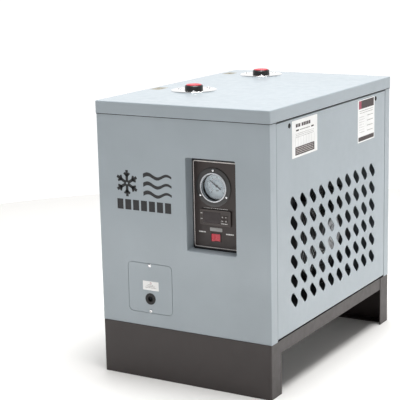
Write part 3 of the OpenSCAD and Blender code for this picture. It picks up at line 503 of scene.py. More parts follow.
def clearLens(name, tint=(0.97, 0.99, 1.0)):
    # clear pane: see-through, with a reflection that grows at a low angle
    finish = bpy.data.materials.new(name)
    finish.use_nodes = True
    tree = finish.node_tree
    tree.nodes.remove(tree.nodes["Principled BSDF"])
    out = tree.nodes["Material Output"]
    where = put(tree, "ShaderNodeTexCoord")
    through = put(tree, "ShaderNodeBsdfTransparent", {"Color": (*tint, 1)})
    gloss = put(tree, "ShaderNodeBsdfGlossy", {"Color": (1, 1, 1, 1), "Roughness": 0.04})
    smear = grain(tree, where, 120.0, 3.0)
    spread = put(tree, "ShaderNodeMapRange", {"From Min": 0.3, "From Max": 0.7, "To Min": 0.02, "To Max": 0.08})
    join(tree, smear, "Fac", spread, "Value")
    join(tree, spread, "Result", gloss, "Roughness")
    edge = put(tree, "ShaderNodeFresnel", {"IOR": 1.45})
    mix = put(tree, "ShaderNodeMixShader")
    join(tree, edge, "Fac", mix, 0)
    join(tree, through, "BSDF", mix, 1)
    join(tree, gloss, "BSDF", mix, 2)
    join(tree, mix, "Shader", out, "Surface")
    return finish


def inkFilm(name, colour, roughness=0.5):
    finish, tree, shader, where = newFinish(name, colour, roughness)
    mottle(tree, shader, grain(tree, where, 500.0, 3.0), shade(colour, 0.85), shade(colour, 1.15))
    roughen(tree, shader, grain(tree, where, 300.0, 2.0), roughness - 0.06, roughness + 0.08)
    return finish


greyPaint = (0.36, 0.41, 0.445)
brownPaint = (0.027, 0.0185, 0.0172)
finishes = {
    "base_paint": powderCoat("brownBasePaint", brownPaint, 0.42, 0.00002, 0.06, 0.1),
    "panel_paint": powderCoat("greyPanelPaint", greyPaint, 0.4),
    "side_paint": powderCoat("greySidePaint", greyPaint, 0.4),
    "cover_paint": powderCoat("greyCoverPaint", greyPaint, 0.36, 0, 0.02, 0.15),
    "plate_paint": mouldedPlastic("brownPanelFilm", (0.034, 0.022, 0.0195), 0.45, 0.000006, 2200.0),
    "zinc_plate": zincSpangle("galvanisedSheet", (0.6, 0.61, 0.62)),
    "bright_screw": platedMetal("brightScrewPlating", (0.82, 0.82, 0.83), 0.2),
    "soft_rubber": softFoam("blackRubber", (0.02, 0.019, 0.019), 0.7),
    "sticker": paperFilm("whiteStickerFilm", (0.9, 0.9, 0.89)),
    "brass_fitting": castMetal("brassBody", (0.75, 0.56, 0.28), 0.3, lumps=0.00003),
    "polished_disc": turnedMetal("polishedSteel", (0.92, 0.92, 0.92), 0.16, 1500.0, 0.0000003),
    "black_iron": castMetal("blackIronEnamel", (0.022, 0.022, 0.022), 0.38, 0.0, 0.00006),
    "copper_pipe": platedMetal("drawnCopper", (0.78, 0.42, 0.28), 0.26, 0.00001, (1, 1, 1)),
    "black_screw": platedMetal("blackOxide", (0.03, 0.03, 0.032), 0.38),
    "red_plug": mouldedPlastic("redCapPlastic", (0.62, 0.02, 0.045), 0.3, Subsurface_Weight=0.05),
    "gauge_black": powderCoat("gaugeCasePaint", (0.018, 0.016, 0.016), 0.36, 0.00002, 0.1, 0.3),
    "gauge_chrome": turnedMetal("gaugeBezelSteel", (0.42, 0.43, 0.45), 0.18, 2600.0, 0.000001),
    "dial_white": paperFilm("dialPaint", (0.88, 0.92, 0.95), 0.5),
    "pointer_black": powderCoat("pointerPaint", (0.015, 0.02, 0.03), 0.4, 0.00001, 0.1, 0.2),
    "gauge_lens": clearLens("gaugeGlass"),
    "controller_black": mouldedPlastic("controllerPlastic", (0.055, 0.043, 0.04), 0.5, 0.00003, 1700.0),
    "display_lens": mouldedPlastic("smokedWindow", (0.022, 0.012, 0.013), 0.1, 0.000004, 600.0),
    "key_plastic": mouldedPlastic("keyPlastic", (0.075, 0.06, 0.056), 0.45, 0.00003),
    "switch_base": mouldedPlastic("switchFramePlastic", (0.03, 0.012, 0.013), 0.35),
    "switch_red": mouldedPlastic("rockerPlastic", (0.72, 0.03, 0.06), 0.28, Subsurface_Weight=0.08),
    "terminal_plastic": mouldedPlastic("terminalPlastic", (0.7, 0.67, 0.58), 0.5),
    "compressor_paint": powderCoat("compressorPaint", (0.014, 0.014, 0.015), 0.28, 0.00008, 0.1, 0.5),
    "cover_plastic": mouldedPlastic("blackCoverPlastic", (0.03, 0.03, 0.032), 0.55, 0.00006, 900.0),
    "fin_aluminium": platedMetal("finAluminium", (0.78, 0.79, 0.8), 0.3),
    "shroud_paint": powderCoat("shroudPaint", (0.1, 0.105, 0.11), 0.45, 0.00005, 0.05, 0.1),
    "black_wire": powderCoat("guardCoating", (0.02, 0.02, 0.021), 0.4, 0.00003, 0.1, 0.3),
    "motor_aluminium": castMetal("motorCasting", (0.66, 0.67, 0.69), 0.42),
    "blade_aluminium": platedMetal("bladeAluminium", (0.7, 0.71, 0.72), 0.34),
    "foam_jacket": softFoam("foamJacket", (0.022, 0.022, 0.024)),
    "separator_aluminium": castMetal("separatorCasting", (0.5, 0.52, 0.56), 0.45),
    "blue_hose": mouldedPlastic("nylonHose", (0.03, 0.12, 0.36), 0.22, Transmission_Weight=0.15),
}
inks = {
    "black": inkFilm("blackInk", (0.014, 0.014, 0.016)),
    "brown": inkFilm("brownInk", (0.05, 0.034, 0.033)),
    "red": inkFilm("redInk", (0.34, 0.05, 0.09)),
    "grey": inkFilm("greyInk", (0.3, 0.29, 0.28)),
    "pale": inkFilm("paleInk", (0.74, 0.69, 0.66)),
    "white": inkFilm("whiteInk", (0.8, 0.79, 0.77)),
    "tan": inkFilm("tanInk", (0.16, 0.14, 0.1)),
    "dusk": inkFilm("duskInk", (0.1, 0.08, 0.074)),
    "blue": inkFilm("blueInk", (0.08, 0.16, 0.26)),
}
# near-black foam finish for the strip that paints the shadow line under the cover's lip
seamShadowFinish = softFoam("paintedSeamShadow", (0.012, 0.012, 0.012))
for node, part in frame["nodes"].items():
    for index in range(len(part.data.materials)):
        part.data.materials[index] = finishes[slotOf[node]]
print("finishes mixed")

# ---- trees for what repeats ----


def newTree(name, sockets):
    tree = bpy.data.node_groups.new(name, "GeometryNodeTree")
    tree.interface.new_socket("Geometry", in_out="INPUT", socket_type="NodeSocketGeometry")
    for socket, kind in sockets:
        tree.interface.new_socket(socket, in_out="INPUT", socket_type="NodeSocket" + kind)
    tree.interface.new_socket("Geometry", in_out="OUTPUT", socket_type="NodeSocketGeometry")
    return tree, put(tree, "NodeGroupInput"), put(tree, "NodeGroupOutput")


def closeTree(tree, start, end, geometry, out="Instances"):
    real = put(tree, "GeometryNodeRealizeInstances")
    paint = put(tree, "GeometryNodeSetMaterial")
    join(tree, geometry, out, real, "Geometry")
    join(tree, real, "Geometry", paint, "Geometry")
    join(tree, start, "Finish", paint, "Material")
    join(tree, paint, "Geometry", end, "Geometry")


def grow(name, tree, values, base=None):
    # runs a tree on a mesh and keeps its result as a plain mesh
    holder = addPiece(name + "Source", base or bpy.data.meshes.new(name + "Base"))
    modifier = holder.modifiers.new("grow", "NODES")
    modifier.node_group = tree
    for item in tree.interface.items_tree:
        if item.item_type == "SOCKET" and item.in_out == "INPUT" and item.name in values:
            modifier[item.identifier] = values[item.name]
    holder.update_tag()
    bpy.context.view_layer.update()
    seen = holder.evaluated_get(bpy.context.evaluated_depsgraph_get())
    mesh = bpy.data.meshes.new_from_object(seen)
    bpy.data.objects.remove(holder)
    mesh.name = name
    return addPiece(name, mesh)


def makeHeadTree():
    # heads of fasteners, one on each point, along the point's own aim and turned at random
    tree, start, end = newTree("fastenerHeads", [("Head", "Object"), ("Seed", "Int"), ("Finish", "Material")])
    head = put(tree, "GeometryNodeObjectInfo", transform_space="ORIGINAL")
    aim = put(tree, "GeometryNodeInputNamedAttribute", {"Name": "aim"}, data_type="FLOAT_VECTOR")
    align = put(tree, "FunctionNodeAlignRotationToVector", axis="Z")
    chance = put(tree, "FunctionNodeRandomValue", {2: 0.0, 3: 2 * math.pi}, data_type="FLOAT")
    spin = put(tree, "FunctionNodeAxisAngleToRotation", {"Axis": (0, 0, 1)})
    turn = put(tree, "FunctionNodeRotateRotation", rotation_space="LOCAL")
    scatter = put(tree, "GeometryNodeInstanceOnPoints")
    join(tree, start, "Head", head, "Object")
    join(tree, start, "Seed", chance, "Seed")
    join(tree, chance, 1, spin, "Angle")
    join(tree, aim, "Attribute", align, "Vector")
    join(tree, align, "Rotation", turn, 0)
    join(tree, spin, "Rotation", turn, 1)
    join(tree, start, "Geometry", scatter, "Points")
    join(tree, head, "Geometry", scatter, "Instance")
    join(tree, turn, "Rotation", scatter, "Rotation")
    closeTree(tree, start, end, scatter)
    return tree


def makeFinTree():
    # rippled fins, spaced evenly along y
    tree, start, end = newTree("coolerFins", [("Count", "Int"), ("First", "Vector"), ("Step", "Vector"),
                                              ("Size", "Vector"), ("Ripple", "Float"), ("Finish", "Material")])
    line = put(tree, "GeometryNodeMeshLine", mode="OFFSET")
    fin = put(tree, "GeometryNodeMeshCube", {"Vertices X": 25, "Vertices Y": 2, "Vertices Z": 2})
    here = put(tree, "GeometryNodeInputPosition")
    parts = put(tree, "ShaderNodeSeparateXYZ")
    wave = put(tree, "ShaderNodeMath", {1: 1100.0}, operation="MULTIPLY")
    sine = put(tree, "ShaderNodeMath", operation="SINE")
    height = put(tree, "ShaderNodeMath", operation="MULTIPLY")
    shift = put(tree, "ShaderNodeCombineXYZ")
    ripple = put(tree, "GeometryNodeSetPosition")
    rows = put(tree, "GeometryNodeInstanceOnPoints")
    join(tree, start, "Count", line, "Count")
    join(tree, start, "First", line, "Start Location")
    join(tree, start, "Step", line, "Offset")
    join(tree, start, "Size", fin, "Size")
    join(tree, here, "Position", parts, "Vector")
    join(tree, parts, "X", wave, 0)
    join(tree, wave, "Value", sine, 0)
    join(tree, sine, "Value", height, 0)
    join(tree, start, "Ripple", height, 1)
    join(tree, height, "Value", shift, "Y")
    join(tree, fin, "Mesh", ripple, "Geometry")
    join(tree, shift, "Vector", ripple, "Offset")
    join(tree, line, "Mesh", rows, "Points")
    join(tree, ripple, "Geometry", rows, "Instance")
    closeTree(tree, start, end, rows)
    return tree


def makeTickTree():
    # strokes round a dial, from one angle to another, every so many of them longer
    tree, start, end = newTree("dialTicks", [("Count", "Int"), ("Radius", "Float"), ("From", "Float"),
                                             ("Step", "Float"), ("Size", "Vector"), ("Long", "Float"),
                                             ("Every", "Int"), ("Finish", "Material")])
    line = put(tree, "GeometryNodeMeshLine", {"Offset": (0, 0, 0)}, mode="OFFSET")
    stroke = put(tree, "GeometryNodeMeshCube")
    number = put(tree, "GeometryNodeInputIndex")
    angle = put(tree, "ShaderNodeMath", operation="MULTIPLY_ADD")
    cosine = put(tree, "ShaderNodeMath", operation="COSINE")
    sine = put(tree, "ShaderNodeMath", operation="SINE")
    ray = put(tree, "ShaderNodeCombineXYZ")
    rest = put(tree, "ShaderNodeMath", operation="MODULO")
    isLong = put(tree, "ShaderNodeMath", {1: 0.5}, operation="LESS_THAN")
    extra = put(tree, "ShaderNodeMath", {1: 1.0}, operation="SUBTRACT")
    stretch = put(tree, "ShaderNodeMath", {2: 1.0}, operation="MULTIPLY_ADD")
    scale = put(tree, "ShaderNodeCombineXYZ", {"Y": 1.0, "Z": 1.0})
    place = put(tree, "ShaderNodeVectorMath", operation="SCALE")
    move = put(tree, "GeometryNodeSetPosition")
    spin = put(tree, "ShaderNodeCombineXYZ")
    rows = put(tree, "GeometryNodeInstanceOnPoints")
    join(tree, start, "Count", line, "Count")
    join(tree, start, "Size", stroke, "Size")
    join(tree, number, "Index", angle, 0)
    join(tree, start, "Step", angle, 1)
    join(tree, start, "From", angle, 2)
    join(tree, angle, "Value", cosine, 0)
    join(tree, angle, "Value", sine, 0)
    join(tree, cosine, "Value", ray, "X")
    join(tree, sine, "Value", ray, "Y")
    join(tree, ray, "Vector", place, 0)
    join(tree, start, "Radius", place, "Scale")
    join(tree, number, "Index", rest, 0)
    join(tree, start, "Every", rest, 1)
    join(tree, rest, "Value", isLong, 0)
    join(tree, start, "Long", extra, 0)
    join(tree, isLong, "Value", stretch, 0)
    join(tree, extra, "Value", stretch, 1)
    join(tree, stretch, "Value", scale, "X")
    join(tree, line, "Mesh", move, "Geometry")
    join(tree, place, "Vector", move, "Position")
    join(tree, angle, "Value", spin, "Z")
    join(tree, move, "Geometry", rows, "Points")
    join(tree, stroke, "Mesh", rows, "Instance")
    join(tree, spin, "Vector", rows, "Rotation")
    join(tree, scale, "Vector", rows, "Scale")
    closeTree(tree, start, end, rows)
    return tree


def makeRingTree():
    # wire rings about z, each one a step wider than the last
    tree, start, end = newTree("wireRings", [("Count", "Int"), ("First", "Float"), ("Step", "Float"),
                                             ("Wire", "Float"), ("Finish", "Material")])
    line = put(tree, "GeometryNodeMeshLine", {"Offset": (0, 0, 0)}, mode="OFFSET")
    ring = put(tree, "GeometryNodeCurvePrimitiveCircle", {"Resolution": 72, "Radius": 1.0})
    number = put(tree, "GeometryNodeInputIndex")
    reach = put(tree, "ShaderNodeMath", operation="MULTIPLY_ADD")
    scale = put(tree, "ShaderNodeCombineXYZ", {"Z": 1.0})
    rows = put(tree, "GeometryNodeInstanceOnPoints")
    loose = put(tree, "GeometryNodeRealizeInstances")
    section = put(tree, "GeometryNodeCurvePrimitiveCircle", {"Resolution": 8})
    wire = put(tree, "GeometryNodeCurveToMesh")
    join(tree, start, "Count", line, "Count")
    join(tree, number, "Index", reach, 0)
    join(tree, start, "Step", reach, 1)
    join(tree, start, "First", reach, 2)
    join(tree, reach, "Value", scale, "X")
    join(tree, reach, "Value", scale, "Y")
    join(tree, line, "Mesh", rows, "Points")
    join(tree, ring, "Curve", rows, "Instance")
    join(tree, scale, "Vector", rows, "Scale")
    join(tree, rows, "Instances", loose, "Geometry")
    join(tree, loose, "Geometry", wire, "Curve")
    join(tree, start, "Wire", section, "Radius")
    join(tree, section, "Curve", wire, "Profile Curve")
    closeTree(tree, start, end, wire, "Mesh")
    return tree


headTree = makeHeadTree()
finTree = makeFinTree()
tickTree = makeTickTree()
ringTree = makeRingTree()


def pointCloud(name, points, aim):
    mesh = bpy.data.meshes.new(name)
    mesh.from_pydata([tuple(p) for p in points], [], [])
    facing = mesh.attributes.new("aim", "FLOAT_VECTOR", "POINT")
    facing.data.foreach_set("vector", [c for _ in points for c in aim])
    return mesh


def screwHead(radius, height, socket, sides=6):
    # domed head with a sunk socket; sides 6 is a hexagon, 4 a square drive
    bm = bmesh.new()
    dome = [(radius * 0.96, 0.0), (radius, height * 0.18), (radius * 0.97, height * 0.5), (radius * 0.8, height * 0.84),
            (radius * 0.58, height * 0.98)]
    steps = 24
    rows = [[bm.verts.new((r * math.cos(2 * math.pi * k / steps), r * math.sin(2 * math.pi * k / steps), z))
             for k in range(steps)] for r, z in dome]

    def socketRow(scale, z):
        found = []
        for k in range(steps):
            angle = 2 * math.pi * k / steps
            side = math.pi / sides
            reach = socket * scale * math.cos(side) / math.cos((angle % (2 * side)) - side)
            found.append(bm.verts.new((reach * math.cos(angle), reach * math.sin(angle), z)))
        return found

    rows += [socketRow(1.08, height), socketRow(1.0, height * 0.93), socketRow(0.98, height * 0.42)]
    for a, b in zip(rows, rows[1:]):
        for k in range(steps):
            bm.faces.new((a[k], a[(k + 1) % steps], b[(k + 1) % steps], b[k]))
    for row in (rows[0], rows[-1]):
        bm.faces.new(row)
    return meshPiece("screwHeadModel", bm, 40)


def screwSet(name, points, aim, finish, radius, height, seed, *nodes, sides=6, shank=None, **extra):
    head = screwHead(radius, height, radius * 0.42, sides)
    if shank:
        bm = bmesh.new()
        bm.from_mesh(head.data)
        reach, thick = shank
        lathe(bm, Matrix(), [(0, -reach), (thick, -reach + thick * 0.4), (thick, height * 0.2), (0, height * 0.2)],
              12, closed=False)
        bm.to_mesh(head.data)
        bm.free()
    piece = grow(name, headTree, {"Head": head, "Seed": seed, "Finish": finish}, pointCloud(name + "Points", points, aim))
    bpy.data.objects.remove(head)
    return settle(piece, finish, *nodes, **extra)


print("trees built")

# ---- ink ----

inkStyle = {"rise": 0.00006, "seed": 7}


def inkShape(bm, place, outline, holes=(), rise=None):
    # thin printed patch; outline and holes are lists of points
    height = rise or inkStyle["rise"]
    loops = [outline] + list(holes)
    low = [[bm.verts.new(place @ Vector((x, y, 0))) for x, y in loop] for loop in loops]
    high = [[bm.verts.new(place @ Vector((x, y, height))) for x, y in loop] for loop in loops]
    for a, b in zip(low, high):
        for i in range(len(a)):
            j = (i + 1) % len(a)
            bm.faces.new((a[i], a[j], b[j], b[i]))
    for level in (low, high):
        corners = [vert for loop in level for vert in loop]
        for triangle in tessellate_polygon([[Vector((x, y, 0)) for x, y in loop] for loop in loops]):
            if len(set(triangle)) == 3:
                bm.faces.new([corners[k] for k in triangle])


def inkBar(bm, place, x, y, width, height, radius=0.0):
    if radius:
        inkShape(bm, place, roundLoop(width, height, radius, (x, y), steps=4)(0))
        return
    w, h = width / 2, height / 2
    inkShape(bm, place, [(x - w, y - h), (x + w, y - h), (x + w, y + h), (x - w, y + h)])


def inkFrame(bm, place, x, y, width, height, radius, line):
    loop = roundLoop(width, height, radius, (x, y), steps=8)
    inkShape(bm, place, loop(0), [loop(-line)])


def inkDashes(bm, place, x, y, width, height, chance, gap=0.35):
    # a row of short dashes of uneven length that stands for a line of small print
    at = x - width / 2
    while at < x + width / 2 - height * 0.5:
        long = min(height * chance.uniform(0.5, 2.4), x + width / 2 - at)
        inkBar(bm, place, at + long / 2, y, long, height * chance.uniform(0.8, 1.0))
        at += long + height * gap * chance.uniform(0.8, 1.6)


def inkPiece(name, bm, ink, node, body=None):
    piece = meshPiece(name, bm, 35)
    return settle(piece, inks[ink], body=body or body_of(frame["nodes"][node])[0], slot=slotOf[node])


# ---- sheet metal of the cabinet ----

sheetWork = {"thickness": 1.5 * mm, "coverBend": 2.5 * mm, "panelBend": 2.5 * mm, "sideBend": 2 * mm,
             "edge": 0.35 * mm, "bendSteps": 6, "return": 28 * mm, "coverCorner": 4 * mm}


def pressBend(bm, half, radius, steps):
    # folds both ends of a flat blank back round a radius, as a press brake does
    arc = radius * quarter
    for side in (-1, 1):
        for step in range(steps + 1):
            bmesh.ops.bisect_plane(bm, geom=bm.verts[:] + bm.edges[:] + bm.faces[:], dist=1e-7,
                                   plane_co=(side * (half + arc * step / steps), 0, 0), plane_no=(1, 0, 0))
    for vert in bm.verts:
        side = math.copysign(1, vert.co.x)
        excess = abs(vert.co.x) - half
        if excess <= 0:
            continue
        turn = min(excess / radius, quarter)
        reach = radius + vert.co.z
        straight = max(excess - arc, 0.0)
        x = half + reach * math.sin(turn)
        depth = radius - reach * math.cos(turn) + straight
        vert.co = Vector((side * x, vert.co.y, -depth))


def wrappedPanel(name, node, place, holes, height, width, thickness, bend, back, edge, finish, extra=None):
    # front and rear panels and the plinths: a blank with openings, folded back at both ends
    half = width / 2 - bend
    blank = 2 * (half + bend * quarter + back - bend)
    bm = bmesh.new()
    rows = plateRows(thickness, edge)
    formSheet(bm, Matrix(), roundLoop(blank, height, edge * 1.5, steps=2), rows, holes, rows)
    bmesh.ops.remove_doubles(bm, verts=bm.verts, dist=1e-7)
    pressBend(bm, half, bend, sheetWork["bendSteps"])
    if extra:
        extra(bm)
    bm.transform(place)
    piece = evenShade(meshPiece(name, bm))
    return settle(piece, finish, node)


def recessSleeve(width, height, radius, centre, depth, thickness, roll):
    # wall of a recess, rolled out of the panel round its opening
    def add(bm):
        loop = roundLoop(width, height, radius, centre, steps=8)
        turn = [quarter * k / 4 for k in range(5)]
        rows = [(roll * (1 - math.sin(a)), -roll * (1 - math.cos(a)) - 0.01 * mm) for a in turn]
        rows = [(roll * (1 - math.sin(a)), -roll + roll * math.cos(a)) for a in turn]
        rows += [(0, -depth), (thickness, -depth), (thickness, -roll - thickness)]
        rows += [(roll + thickness * 0.2, -thickness)]
        levels = [[bm.verts.new((x, y, z)) for x, y in loop(grow)] for grow, z in rows]
        for a, b in zip(levels, levels[1:] + levels[:1]):
            for i in range(len(a)):
                j = (i + 1) % len(a)
                bm.faces.new((a[i], a[j], b[j], b[i]))
    return add


frontLow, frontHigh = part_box("front_panel")
plateLow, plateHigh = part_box("control_plate")
accessLow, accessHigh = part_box("access_cover")
connectionLow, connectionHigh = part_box("connection_plate")
recess = {"overlap": 5.5 * mm, "corner": 4 * mm, "roll": 1.2 * mm, "accessSeam": 1 * mm, "accessCorner": 10 * mm}
panelHeight = frontHigh.z - frontLow.z
panelCentreZ = (frontHigh.z + frontLow.z) / 2
panelWidth = frontHigh.x - frontLow.x


def openingOf(low, high, centreX, centreZ, mirror=1):
    centre = ((low.x + high.x) / 2, (low.z + high.z) / 2)
    size = (high.x - low.x - 2 * recess["overlap"], high.z - low.z - 2 * recess["overlap"])
    return size, (mirror * (centre[0] - centreX), centre[1] - centreZ)


def frontPanel():
    work = sheetWork
    size, centre = openingOf(plateLow, plateHigh, 0, panelCentreZ)
    accessCentre = (accessLow.x + accessHigh.x) / 2, (accessLow.z + accessHigh.z) / 2 - panelCentreZ
    accessSize = [accessHigh.x - accessLow.x + 2 * recess["accessSeam"],
                  accessHigh.z - accessLow.z + 2 * recess["accessSeam"]]
    rim = recess["roll"] + work["edge"]
    holes = [
        roundLoop(size[0] + 2 * recess["roll"], size[1] + 2 * recess["roll"], recess["corner"] + recess["roll"],
                  centre, steps=8),
        roundLoop(*accessSize, recess["accessCorner"] + recess["accessSeam"], accessCentre, steps=8),
    ]
    depth = plateLow.y - frontLow.y
    sleeve = recessSleeve(*size, recess["corner"], centre, depth, work["thickness"], recess["roll"])
    ledge = {"over": 16 * mm, "under": 16 * mm, "gap": 2 * work["thickness"]}

    def extra(bm):
        sleeve(bm)
        outer = roundLoop(accessSize[0] + ledge["over"], accessSize[1] + ledge["over"], recess["accessCorner"],
                          accessCentre)
        inner = roundLoop(accessSize[0] - ledge["under"], accessSize[1] - ledge["under"],
                          recess["accessCorner"] / 2, accessCentre)
        rows = [(g, d - work["thickness"]) for g, d in plateRows(work["thickness"], work["edge"])]
        formSheet(bm, Matrix(), outer, rows, [inner], rows)

    place = onFront(0, frontLow.y, panelCentreZ)
    return wrappedPanel("frontPanel", "front_panel", place, holes, panelHeight, panelWidth, work["thickness"],
                        work["panelBend"], work["return"], work["edge"], finishes["panel_paint"], extra)


def rearPanel():
    work = sheetWork
    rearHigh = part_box("rear_panel")[1]
    size, centre = openingOf(connectionLow, connectionHigh, 0, panelCentreZ, -1)
    hole = roundLoop(size[0] + 2 * recess["roll"], size[1] + 2 * recess["roll"], recess["corner"] + recess["roll"],
                     centre, steps=8)
    sleeve = recessSleeve(*size, recess["corner"], centre, rearHigh.y - connectionHigh.y, work["thickness"],
                          recess["roll"])
    place = onRear(0, rearHigh.y, panelCentreZ)
    return wrappedPanel("rearPanel", "rear_panel", place, [hole], panelHeight, panelWidth, work["thickness"],
                        work["panelBend"], work["return"], work["edge"], finishes["panel_paint"], sleeve)


portPlaces = [Vector(mount["pos_m"]) for mount in record["mounts"] if mount["name"] in ("inlet_port", "outlet_port")]
socketRadius = spanOf("port_sockets").x / 2


def topCover():
    low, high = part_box("top_cover")
    work = sheetWork
    outer = roundLoop(high.x - low.x, high.y - low.y, work["coverCorner"], steps=8)
    holes = [ringLoop(socketRadius + 1 * mm, (port.x, port.y), 48) for port in portPlaces]
    bm = bmesh.new()
    formSheet(bm, onTop(0, 0, high.z), outer, foldRows(work["thickness"], work["coverBend"], high.z - low.z),
              holes, plateRows(work["thickness"], work["edge"]))
    piece = evenShade(meshPiece("topCover", bm))
    return settle(piece, finishes["cover_paint"], "top_cover")


slots = {"columns": 10, "rows": 6, "pitchAlong": 47 * mm, "pitchUp": 43.1 * mm, "length": 38.5 * mm,
         "width": 20 * mm, "corner": 8.5 * mm, "rise": 68.5 * mm, "back": 1 * mm}


def sidePanel(name, node, place):
    low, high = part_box(node)
    length, height, depth = high.y - low.y, high.z - low.z, high.x - low.x
    work = sheetWork
    holes = []
    for column in range(slots["columns"]):
        for row in range(slots["rows"]):
            along = slots["back"] + (column - (slots["columns"] - 1) / 2) * slots["pitchAlong"]
            up = slots["rise"] + row * slots["pitchUp"] - height / 2
            holes.append(roundLoop(slots["length"], slots["width"], slots["corner"], (along, up), -quarter / 2, 5))
    bm = bmesh.new()
    formSheet(bm, place, roundLoop(length, height, work["sideBend"], steps=4),
              foldRows(work["thickness"], work["sideBend"], depth), holes, plateRows(work["thickness"], 0.3 * mm))
    return settle(evenShade(meshPiece(name, bm)), finishes["side_paint"], node)


def sidePanels():
    low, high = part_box("right_panel")
    sidePanel("rightPanel", "right_panel", onRight(high.x, 0, (low.z + high.z) / 2))
    low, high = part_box("left_panel")
    sidePanel("leftPanel", "left_panel", onLeft(low.x, 0, (low.z + high.z) / 2))


frontPanel()
rearPanel()
topCover()
sidePanels()
print("cabinet sheets folded")

# ---- base ----

baseWork = {"thickness": 3 * mm, "bend": 4 * mm, "leg": 48.4 * mm, "flange": 32 * mm, "edge": 0.5 * mm,
            "anchor": 5.5 * mm}


def plinth(name, node, place):
    low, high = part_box(node)
    height, width = high.z - low.z, high.x - low.x
    work = baseWork
    anchors = next(mount for mount in record["mounts"] if mount["name"] == "anchor_holes")

    def extra(bm):
        # flanges turned in along the top and bottom, with the anchor holes
        inside = work["flange"] - work["thickness"]
        centre = work["thickness"] + inside / 2
        across = anchors["dims"]["spacing_x_mm"] * mm / 2
        for level in (work["thickness"], height):
            flat = Matrix.Translation((0, level - height / 2, 0)) @ Matrix.Rotation(-quarter, 4, "X")
            rows = plateRows(work["thickness"], 0.2 * mm)
            body = roundLoop(width - 2 * work["thickness"], inside, 0.5 * mm, (0, centre), steps=2)
            holes = [ringLoop(work["anchor"], (side * across, centre), 32) for side in (-1, 1)]
            formSheet(bm, flat, body, rows, holes, rows)

    wrappedPanel(name, node, place, [], height, width, work["thickness"], work["bend"], work["leg"],
                 work["edge"], finishes["base_paint"], extra)


def makeBase():
    low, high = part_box("front_plinth")
    plinth("frontPlinth", "front_plinth", onFront(0, low.y, (low.z + high.z) / 2))
    low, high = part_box("rear_plinth")
    plinth("rearPlinth", "rear_plinth", onRear(0, high.y, (low.z + high.z) / 2))
    softened("side_rails", "sideRails", finishes["base_paint"], 0.4 * mm)
    softened("floor_pan", "floorPan", finishes["zinc_plate"], 0.3 * mm)


makeBase()
print("base folded")

# ---- air ports ----

ports = {"screwCircle": 38.5 * mm, "screwTurn": math.radians(60), "discEdge": 0.5 * mm}


def airPorts():
    discLow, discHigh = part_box("port_discs")
    low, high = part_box("port_sockets")
    for port, label in zip(portPlaces, ("inlet", "outlet")):
        place = onTop(port.x, port.y, 0)
        discRadius = (discHigh.x - discLow.x) / 2
        bore = socketRadius + 0.3 * mm
        disc = turned(label + "Disc", place, [
            (bore, discLow.z, 0), (bore, discHigh.z, 0.3 * mm),
            (discRadius, discHigh.z, 1.0 * mm), (discRadius, discLow.z, 0.3 * mm)], 128)
        settle(disc, finishes["polished_disc"], "port_discs")
        plugBore, thread = 16.75 * mm, 15.15 * mm
        chamfer = 1.6 * mm
        threadTop = high.z - 8 * mm
        profile = [(socketRadius, low.z + chamfer), (socketRadius, high.z - chamfer), (socketRadius - chamfer, high.z),
                   (plugBore + 0.4 * mm, high.z), (plugBore, high.z - 0.4 * mm), (plugBore, threadTop),
                   (thread + 0.9 * mm, threadTop)]
        turns = 14
        pitch = (threadTop - 1 * mm - low.z) / turns
        for turn in range(turns):
            top = threadTop - 0.4 * mm - turn * pitch
            profile += [(thread + 0.9 * mm, top), (thread, top - pitch * 0.5)]
        profile += [(thread + 0.9 * mm, low.z), (socketRadius - chamfer, low.z)]
        bm = bmesh.new()
        lathe(bm, place, profile, 72)
        settle(meshPiece(label + "Socket", bm, 30), finishes["black_iron"], "port_sockets")
        plugLow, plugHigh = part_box(label + "_plug")
        rim, stem, wall = 17.85 * mm, 16.45 * mm, 1.8 * mm
        lip = plugHigh.z - 1.6 * mm
        plug = turned(label + "Plug", place, [
            (0, plugLow.z, 0), (stem - 0.3 * mm, plugLow.z, 0.6 * mm), (stem, lip, 0.2 * mm), (rim, lip, 0.3 * mm),
            (rim, plugHigh.z, 0.8 * mm), (stem - wall + 0.5 * mm, plugHigh.z, 0.9 * mm),
            (stem - wall - 1.2 * mm, plugHigh.z - 1.3 * mm, 0.8 * mm), (0, plugHigh.z - 0.2 * mm, 0)],
            72, closed=False)
        settle(plug, finishes["red_plug"], label + "_plug")
    points = []
    for port in portPlaces:
        for k in range(3):
            angle = ports["screwTurn"] + k * 2 * math.pi / 3
            points.append((port.x + ports["screwCircle"] * math.cos(angle),
                           port.y + ports["screwCircle"] * math.sin(angle), discHigh.z))
    screwSet("discScrews", points, (0, 0, 1), finishes["bright_screw"], 4 * mm, 1.4 * mm, 3, "disc_screws",
             shank=(8 * mm, 2 * mm))


airPorts()
print("air ports turned")

# ---- panel screws ----


def panelScrews():
    for node, side in (("right_panel_screws", 1), ("left_panel_screws", -1)):
        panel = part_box(node.replace("_screws", ""))
        face = panel[1].x if side > 0 else panel[0].x
        points = [(face, (low.y + high.y) / 2, (low.z + high.z) / 2) for low, high in islands(node)]
        name = ("right" if side > 0 else "left") + "PanelScrews"
        screwSet(name, points, (side, 0, 0), finishes["black_screw"], 5.5 * mm, 1.4 * mm, 11 + side, node,
                 shank=(18 * mm, 2 * mm))
    points = [((low.x + high.x) / 2, frontLow.y, (low.z + high.z) / 2) for low, high in islands("cover_screws")]
    screwSet("accessScrews", points, (0, -1, 0), finishes["bright_screw"], 4 * mm, 1.4 * mm, 5, "cover_screws",
             shank=(8.5 * mm, 2 * mm))


panelScrews()

# ---- access cover ----


